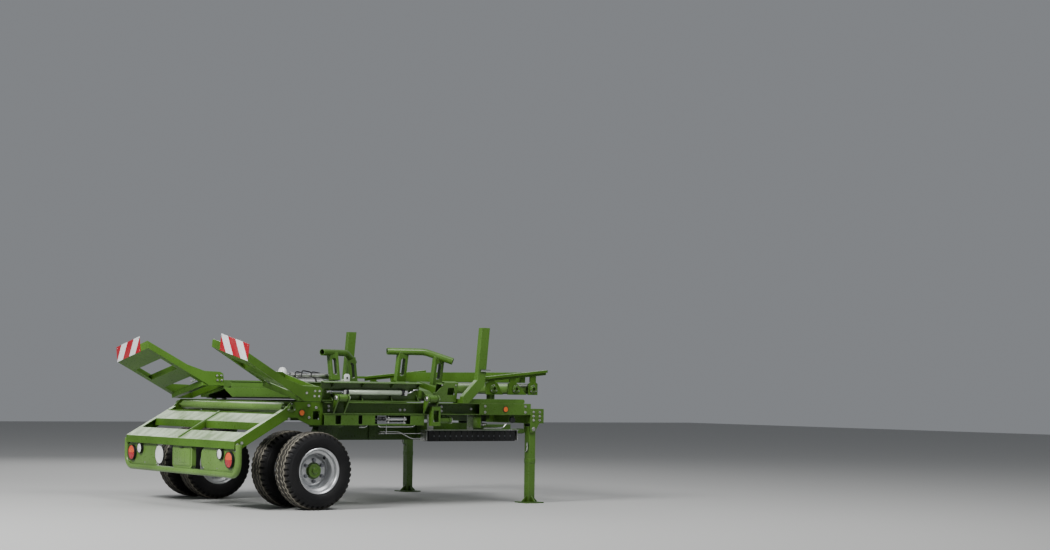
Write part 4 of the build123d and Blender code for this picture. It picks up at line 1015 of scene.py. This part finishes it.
# %% [markdown]
# ## Drag chain
# The chain that guides the hoses is sixteen nylon links in a row, wide and narrow in turn. One link is
# built from parts given one by one: two notched cheeks, a tongue that reaches the next link and a bar
# above and below. A second Geometry Nodes tree then sets a copy on each mark of a line, and a number on
# the mark narrows every other one a little, so the joints catch the light.

# %% One link
chain_low, chain_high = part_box("drag_chain")
chain_mid = (chain_low + chain_high) / 2
link_count, link_pitch = 16, 0.072
half_w, half_h = (chain_high.x - chain_low.x) / 2, (chain_high.z - chain_low.z) / 2
quarter = ((0.033, 0.0), (0.033, 0.014), (0.025, 0.022), (0.033, 0.03), (0.033, 0.046), (0.024, half_h),
           (0.01, half_h), (0.006, half_h - 0.012))
upper = list(quarter) + [(-y, z) for y, z in reversed(quarter)]
cheek_line = upper + [(-y, -z) for y, z in upper[1:-1]]
cheek_thick, tongue_thick, tongue_up, bar_tall = 0.007, 0.004, 0.034, 0.01
link_parts = []
for hand in (-1, 1):
    outer = hand * half_w
    inner = outer - hand * cheek_thick
    link_parts.append(plate_piece("cheek", [(outer, y, z) for y, z in cheek_line], (inner - outer, 0, 0), 0))
    link_parts.append(block_piece("tongue", (inner - tongue_thick / 2, -link_pitch / 2, -tongue_up),
                                  (inner + tongue_thick / 2, link_pitch / 2, tongue_up), 0))
for height in (-half_h, half_h - bar_tall):
    link_parts.append(block_piece("bar", (-half_w, -0.012, height),
                                  (half_w, 0.012, height + bar_tall), 0.002))
link_shape = joined("link_shape", link_parts)
print("link", len(link_shape.data.polygons), "faces")

# %% [markdown]
# The tree below is the general one for repeats: it takes any shape, puts it on marks, sizes it by the
# mark's own three numbers, and returns plain geometry with a finish.

# %% Tree for repeats
copy_tree, copy_inputs, marks = marks_tree("copies_on_marks", (
    ("Shape", "NodeSocketObject"), ("Finish", "NodeSocketMaterial")))
shape = put(copy_tree, "GeometryNodeObjectInfo", {"Object": marks["Shape"]})
copy_on_marks(copy_tree, marks, {"Instance": shape.outputs["Geometry"],
                                 "Scale": told(copy_tree, "sizing", "FLOAT_VECTOR")})
copy_labels = (("sizing", "FLOAT_VECTOR", "vector"),)


def copies(name, body, shape, rows, finish, slot):
    """Copies of a shape at rows of (point, sizing), as one plain piece; the shape itself is used up."""
    piece = grown(name, rows, copy_labels, copy_tree, dict(zip(copy_inputs, (shape, finish))))
    bpy.data.objects.remove(shape)
    print(name, len(rows), "copies", len(piece.data.polygons), "faces")
    return finished(piece, finish, body, slot)


chain_start = chain_mid.y - (link_count - 1) / 2 * link_pitch
narrow = 0.96
link_rows = [(Vector((chain_mid.x, chain_start + number * link_pitch, chain_mid.z)),
              (narrow if number % 2 else 1.0, 1.0, 1.0)) for number in range(link_count)]
chain = copies("chain_links", "root", link_shape, link_rows, nylon, "black_plastic")
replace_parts(chain, "drag_chain")

# %% [markdown]
# Pins join the links, and a bright bracket holds each end of the chain.

# %% Chain pins and end brackets
pin_in = 0.004
chain_pins = []
for number in range(1, link_count):
    pin_y = chain_start + (number - 0.5) * link_pitch
    for hand in (-1, 1):
        pin_x = chain_mid.x + hand * (half_w - pin_in)
        chain_pins.append((Vector((pin_x, pin_y, chain_mid.z)), (hand, 0, 0)))
bolts("chain_pins", "root", chain_pins, 0.01, 0.006, 0.01, nut_steel)
holders = []
left_x, right_x, foot_z, top_z = chain_low.x - 0.006, chain_high.x + 0.006, chain_low.z, chain_high.z
for y in (chain_low.y - 0.004, chain_high.y - 0.004):
    holders.append(block_piece("holder", (left_x, y, foot_z + 0.006),
                               (right_x, y + 0.008, top_z + 0.012), 0.002))
    holders.append(block_piece("toe", (left_x, y - 0.02, top_z + 0.006),
                               (right_x, y + 0.03, top_z + 0.012), 0.002))
finished(joined("chain_holders", holders), zinc, "root", "zinc_steel")

# %% [markdown]
# ## Pipes and valves
# The oil runs in rigid steel pipes, each a round bar with bent corners and a hexagon nut at its ends.
# Thin ones lie behind the window of the right beam and thicker ones under the coupling beam, where a
# strap hangs them.

# %% Pipes under the beam
pipe_rows = (
    ((1.196, 0.745, 0.885), (1.196, 0.7, 0.885), (1.196, 0.64, 0.8), (1.196, 0.56, 0.8)),
    ((1.178, 0.745, 0.86), (1.178, 0.715, 0.86), (1.178, 0.655, 0.812), (1.06, 0.655, 0.812)),
    ((1.222, 0.77, 0.842), (1.222, 0.77, 0.806), (1.222, 1.18, 0.806), (1.222, 1.23, 0.842)),
)
under_rows = (
    ((0.345, 1.34, 0.716), (0.345, 1.884, 0.716)),
    ((0.375, 1.34, 0.735), (0.375, 1.56, 0.735), (0.375, 1.72, 0.66), (0.375, 1.884, 0.66)),
    ((0.455, 2.6, 0.775), (0.455, 2.86, 0.775), (0.455, 2.9, 0.815)),
)
pipe_sizes = ((pipe_rows, 0.006, 0.03), (under_rows, 0.008, 0.04))     # rows, radius, bend
steel_pipes = [bar_piece("pipe", [at(*point) for point in row], radius, bend, 3)
               for rows, radius, bend in pipe_sizes for row in rows]
steel_pipes.append(block_piece("strap", at(0.335, 1.392, 0.706), at(0.388, 1.398, 0.932), 0.001))
finished(joined("steel_pipes", steel_pipes), bright, "root", "cylinder_steel")
nut_rows = [(at(*row[0]), (0, 1, 0), 0.9) for row in pipe_rows[:2]]
nut_rows += [(at(*row[end]), (0, way, 0), 0.9) for row in under_rows[:2] for end, way in ((0, -1), (-1, 1))]
bolts("pipe_nuts", "root", nut_rows, 0.018, 0.018, 0.0095)

# %% [markdown]
# A latch pin for the unfolded guide sits across each tall post, at the knee.

# %% Latch pins on the posts
sides = (("right", 1), ("left", -1))
for side_name, hand in sides:
    pin_line = [at(hand * 1.355, y, 1.386) for y in (1.915, 2.035)]
    pin = bar_piece(f"post_pin_{side_name}", pin_line, 0.012, 0, 3)
    finished(pin, bright, "root", "cylinder_steel")
print("latch pins", len(sides))

# %% [markdown]
# The valve block carries solenoids, small black drums with a plug. The two rams behind the windows are
# solids already, so only the collars at their ends are added.

# %% Valve details
valve_low, valve_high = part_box("valve_block")
drum_face = ((0, 0.004), (0, 0.017), (0.02, 0.017), (0.024, 0.013), (0.026, 0.004))
drums = []
for number in range(2):
    drum_at = Vector((valve_high.x, valve_low.y + 0.03 + 0.044 * number, valve_high.z - 0.04))
    drums.append(lathe("drum", drum_face, drum_at, 1, 20))
    drums.append(block_piece("plug", drum_at + Vector((0.004, -0.01, 0.01)),
                             drum_at + Vector((0.024, 0.01, 0.026)), 0.002))
collars = [ring("collar", at(1.201, y, z), radius - 0.004, 0.006, 0.02, 1)
           for radius, z in ((0.0262, 0.885), (0.0172, 0.842)) for y in (0.88, 1.07)]
finished(joined("solenoids", drums), nylon, "root", "black_plastic")
finished(joined("ram_collars", collars), zinc, "root", "zinc_steel")
print("valve box", [round(value, 3) for value in valve_high - valve_low])

# %% [markdown]
# Under the front of the beams hang a coupler plate, a damper with a bright end and a black stop knob,
# on a bracket each.

# %% Coupler plate, damper and stop knob
damper_face = ((0, 0.004), (0, 0.03), (0.15, 0.03), (0.15, 0.036), (0.176, 0.036), (0.18, 0.03),
               (0.18, 0.004))
damper_cap = ((0.177, 0.004), (0.177, 0.037), (0.186, 0.037), (0.19, 0.03), (0.19, 0.004))
knob_face = ((0, 0.004), (0, 0.034), (0.02, 0.034), (0.028, 0.026), (0.03, 0.01), (0.03, 0.004))
coupler_face = ((0, 0.005), (0, 0.013), (0.02, 0.013), (0.022, 0.017), (0.046, 0.017), (0.048, 0.012),
                (0.07, 0.012), (0.07, 0.005))
beam_under = 0.932
green_parts, white_parts, black_parts, gussets = [], [], [], []
for hand in (1, -1):
    damper_x, bracket_x = hand * 1.196, hand * 1.184
    damper_at = at(damper_x, 1.475, 0.873)
    green_parts.append(lathe("damper", damper_face, damper_at, 1, 24, "Y"))
    white_parts.append(lathe("cap", damper_cap, damper_at, 1, 24, "Y"))
    for y in (1.5, 1.6):
        green_parts.append(block_piece("saddle", at(damper_x - 0.012, y, 0.895),
                                       at(damper_x + 0.012, y + 0.012, beam_under), 0.001))
    black_parts.append(lathe("knob", knob_face, at(hand * 1.19, 2.44, 0.878), hand, 24))
    green_parts.append(block_piece("bracket", at(bracket_x - 0.006, 2.405, 0.85),
                                   at(bracket_x + 0.006, 2.475, beam_under), 0.002))
green_parts.append(block_piece("coupler_plate", at(0.27, 2.565, 0.775), at(0.45, 2.573, 0.935), 0.002))
for number in range(4):
    coupler_at = at(0.295 + 0.044 * number, 2.573, 0.815)
    white_parts.append(lathe("coupler", coupler_face, coupler_at, 1, 16, "Y"))
for hand in (-1, 1):
    gussets.append(block_piece("gusset", at(hand * 1.11 - 0.004, 0.004, 0.85),
                               at(hand * 1.11 + 0.004, 0.138, 1.0), 0.002))
finished(joined("under_brackets", green_parts), green, "root", "green_paint")
finished(joined("damper_caps", white_parts), zinc, "root", "zinc_steel")
finished(joined("stop_knobs", black_parts), nylon, "root", "black_plastic")
finished(joined("inner_gussets", gussets), shaded_green, "root", "green_paint")
print("under-beam parts", len(green_parts) + len(white_parts) + len(black_parts))

# %% [markdown]
# ## Folded platforms
# The platforms lie folded at a tilt, so their small parts are placed in the platform's own directions:
# inwards from the hinge, along the machine, and off the sheet. One helper turns such a place into the
# frame. Everything here rides on the fold, so it swings out with it.

# %% Places on a folded platform
tilt = math.radians(11.0)
pipe_in, pipe_off = 0.097, 0.0393


def folded(inwards, y, off, hand=1):
    """A point of the right platform, or of the left one when hand is -1."""
    x = hinge.x - inwards * math.cos(tilt) + off * math.sin(tilt)
    return at(hand * x, y, hinge.z + inwards * math.sin(tilt) + off * math.cos(tilt))


def folded_way(inwards, along, off):
    """A direction of the right platform."""
    x = off * math.sin(tilt) - inwards * math.cos(tilt)
    return (x, along, inwards * math.sin(tilt) + off * math.cos(tilt))


for side_name, hand in sides:
    clamps = [ring("clamp", folded(pipe_in, y, pipe_off, hand), 0.0192, 0.011, 0.026, 1)
              for y in (0.39, 1.036)]
    finished(joined(f"pipe_clamps_{side_name}", clamps), nylon, f"fold_{side_name}", "black_plastic")
    rod_line = [folded(pipe_in + inwards, y, pipe_off + off, hand) for inwards, y, off in (
        (0, 1.09, 0), (0, 1.15, 0), (-0.004, 1.19, 0.03), (-0.004, 1.235, 0.034))]
    end_rod = bar_piece(f"fold_rod_{side_name}", rod_line, 0.009, 0.02, 3)
    finished(end_rod, bright, f"fold_{side_name}", "cylinder_steel")
print("fold helpers ready", [round(value, 3) for value in folded(0.69, 0, 0)])

# %% [markdown]
# The side ramps are bolted to the platforms: two pairs of bolts through each cheek at the foot. Each
# warning board is held by small screws at its corners, and a bright rod links the ramp's foot to the
# platform as a travel lock.

# %% Bolts and rods of the side ramps
outer_way, inner_way = folded_way(-1, 0, 0), folded_way(1, 0, 0)
fold_rows = [(folded(inwards, y, off), way, 0.8) for inwards, way in ((-0.075, outer_way), (0.683, inner_way))
             for y in (-0.01, -0.06) for off in (0.03, 0.08)]
fold_rows.append((folded(-0.075, -0.15, 0.06), outer_way, 0.9))
fold_rows += [(folded(0.06, y, 0.133), outer_way, 0.6) for y in (1.5, 1.67)]
screws = [(folded(inwards, -0.826, off), (0, -1, 0), 0.35)
          for inwards in (-0.06, 0.48) for off in (0.375, 0.502)]
lock_line = ((0.56, -0.154, 0.085), (0.56, -0.215, 0.085), (0.56, -0.25, 0.06), (0.48, -0.262, 0.05))
for side_name, hand in sides:
    body = f"fold_{side_name}"
    bolts(f"fold_bolts_{side_name}", body, mirrored(fold_rows, hand))
    bolts(f"board_screws_{side_name}", body, mirrored(screws, hand), 0.022, 0.008, 0.018)
    lock = bar_piece(f"travel_lock_{side_name}", [folded(*place, hand) for place in lock_line], 0.01, 0.03, 3)
    finished(lock, bright, body, "cylinder_steel")

# %% [markdown]
# The oil stores on the left platform are accumulators: bright cylinders with domed ends, straps, and
# short pipes that loop from one to the other. Two slimmer tubes lie on saddles above them, and a white
# breather dome stands behind.

# %% Oil stores
store_in, store_off, tube_off, loop_off = (0.589, 0.491), 0.045, 0.122, 0.1
tip_face = ((0, 0.004), (0, 0.036), (0.008, 0.034), (0.02, 0.024), (0.026, 0.014), (0.04, 0.014),
            (0.042, 0.004))
straps, tips, loops = [], [], []
for inwards in store_in:
    for y in (0.7, 0.925, 1.15):
        straps.append(ring("strap", folded(inwards, y, store_off, -1), 0.0452, 0.003, 0.024, 1))
    for y, way in ((1.262, 1), (0.588, -1)):
        tips.append(lathe("tip", tip_face, folded(inwards, y, store_off, -1), way, 24, "Y"))
finished(joined("store_straps", straps), nylon, "fold_left", "black_plastic")
finished(joined("store_tips", tips), zinc, "fold_left", "zinc_steel")
for start, end, rise in ((0.92, 1.12, 0.062), (1.0, 1.22, 0.074), (1.12, 1.34, 0.062)):
    loop_line = [folded(*place, -1) for place in (
        (store_in[0] + 0.02, start, loop_off), (store_in[0], start + 0.02, loop_off + rise),
        (store_in[1], end - 0.02, loop_off + rise), (store_in[1] - 0.02, end, loop_off))]
    loops.append(bar_piece("loop", loop_line, 0.007, 0.05, 3))
finished(joined("store_loops", loops), nylon, "fold_left", "black_plastic")
tube_face = ((0, 0.004), (0, 0.03), (0.026, 0.03), (0.03, 0.0245), (0.5, 0.0245), (0.504, 0.031),
             (0.55, 0.031), (0.552, 0.004))
tubes = [lathe("tube", tube_face, folded(inwards, 0.88, tube_off, -1), 1, 24, "Y")
         for inwards in (0.574, 0.506)]
for y in (0.96, 1.14):
    saddle = block_piece("saddle", (-0.06, -0.01, -0.036), (0.06, 0.01, -0.006), 0.002)
    saddle.data.transform(Matrix.Translation(folded(0.54, y, tube_off, -1)) @ Matrix.Rotation(tilt, 4, "Y"))
    tubes.append(saddle)
finished(joined("store_tubes", tubes), zinc, "fold_left", "zinc_steel")
breather_face = ((0, 0.004), (0, 0.05), (0.07, 0.05), (0.1, 0.042), (0.118, 0.026), (0.124, 0.004))
breather = lathe("breather", breather_face, folded(0.54, 0.8, 0.088, -1), 1, 28, "Z")
finished(breather, white_sheet, "fold_left", "white_sheet")
print("store parts", len(tips) + len(straps))

# %% [markdown]
# The fold pipe wears a pale sleeve over most of its length, and a white catch plate with a dark bolt
# stands on each platform's inner edge, where it holds the platform when it is unfolded.

# %% Pipe sleeves and catch plates
pale_pipe = metal("pale_pipe", (0.56, 0.66, 0.5), (0.25, 0.42), 0.35, (1.0, 0.1, 1.0))
sleeve_face = ((0, 0.0193), (0, 0.024), (0.004, 0.0258), (0.652, 0.0258), (0.656, 0.024), (0.656, 0.0193))
catch_face = ((-0.034, 0), (0.034, 0), (0.034, 0.08), (0.02, 0.098), (-0.02, 0.098), (-0.034, 0.08))
catch_thick, bolt_up = 0.006, 0.058
for side_name, hand in sides:
    body = f"fold_{side_name}"
    sleeve_at = folded(pipe_in, 0.392, pipe_off, hand)
    sleeve = lathe(f"pipe_sleeve_{side_name}", sleeve_face, sleeve_at, 1, 24, "Y")
    finished(sleeve, pale_pipe, body, "cylinder_steel")
    foot = folded(0.622, 0.715, 0.024, hand)
    corners = [foot + Vector((0, y, z)) for y, z in catch_face]
    plate = plate_piece(f"catch_{side_name}", corners, (hand * catch_thick, 0, 0), 0.0015)
    finished(plate, white_sheet, body, "white_sheet")
    dark_bolt = [(foot + Vector((hand * catch_thick, 0, bolt_up)), (hand, 0, 0), 0.8)]
    bolts(f"catch_bolt_{side_name}", body, dark_bolt, 0.019, 0.011, 0.014, nylon, "black_plastic")

# %% [markdown]
# ## Parking legs and tow eye
# A parking leg stands on its foot, stiffened by four ribs, and shows the bright spring pin that holds
# it down. A hardened bush lines the tow eye above and below.

# %% Legs and eye
leg_x, leg_y, sleeve_half, rib_half = 1.18, 2.692, 0.0435, 0.004
rib_line = ((0.04, 0.012), (0.1, 0.012), (0.1, 0.02), (0.04, 0.075))      # reach, height
handle_line = ((0.03, -0.06, 0.64), (0.03, -0.06, 0.56), (0, -0.06, 0.54), (0, -0.036, 0.54))
for side_name, hand in sides:
    body, x = f"parking_leg_{side_name}", hand * leg_x
    ribs = []
    for dx, dy in ((1, 0), (-1, 0), (0, 1), (0, -1)):
        corners = [at(x + dx * reach + dy * rib_half, leg_y + dy * reach + dx * rib_half, z)
                   for reach, z in rib_line]
        ribs.append(plate_piece("rib", corners, (-dy * 2 * rib_half, -dx * 2 * rib_half, 0), 0.001))
    ribs.append(block_piece("sleeve", at(x - sleeve_half, leg_y - sleeve_half, 0.42),
                            at(x + sleeve_half, leg_y + sleeve_half, 0.47), 0.004))
    finished(joined(f"leg_ribs_{side_name}", ribs), green, body, "green_paint")
    handle = bar_piece(f"leg_handle_{side_name}", [at(x + hand * out, leg_y + along, z)
                                                   for out, along, z in handle_line], 0.007, 0.02, 3)
    finished(handle, bright, body, "cylinder_steel")
eye_low, eye_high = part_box("drawbar")
eye_mid, eye_half = at(0, 3.42, (eye_low.z + eye_high.z) / 2), 0.024
bush = [ring("bush", eye_mid + Vector((0, 0, way * eye_half)), 0.0262, 0.013, 0.006, way, "Z")
        for way in (-1, 1)]
finished(joined("eye_bush", bush), dull_steel, "drawbar_slide_body", "cylinder_steel")
print("eye", [round(value, 3) for value in eye_mid])
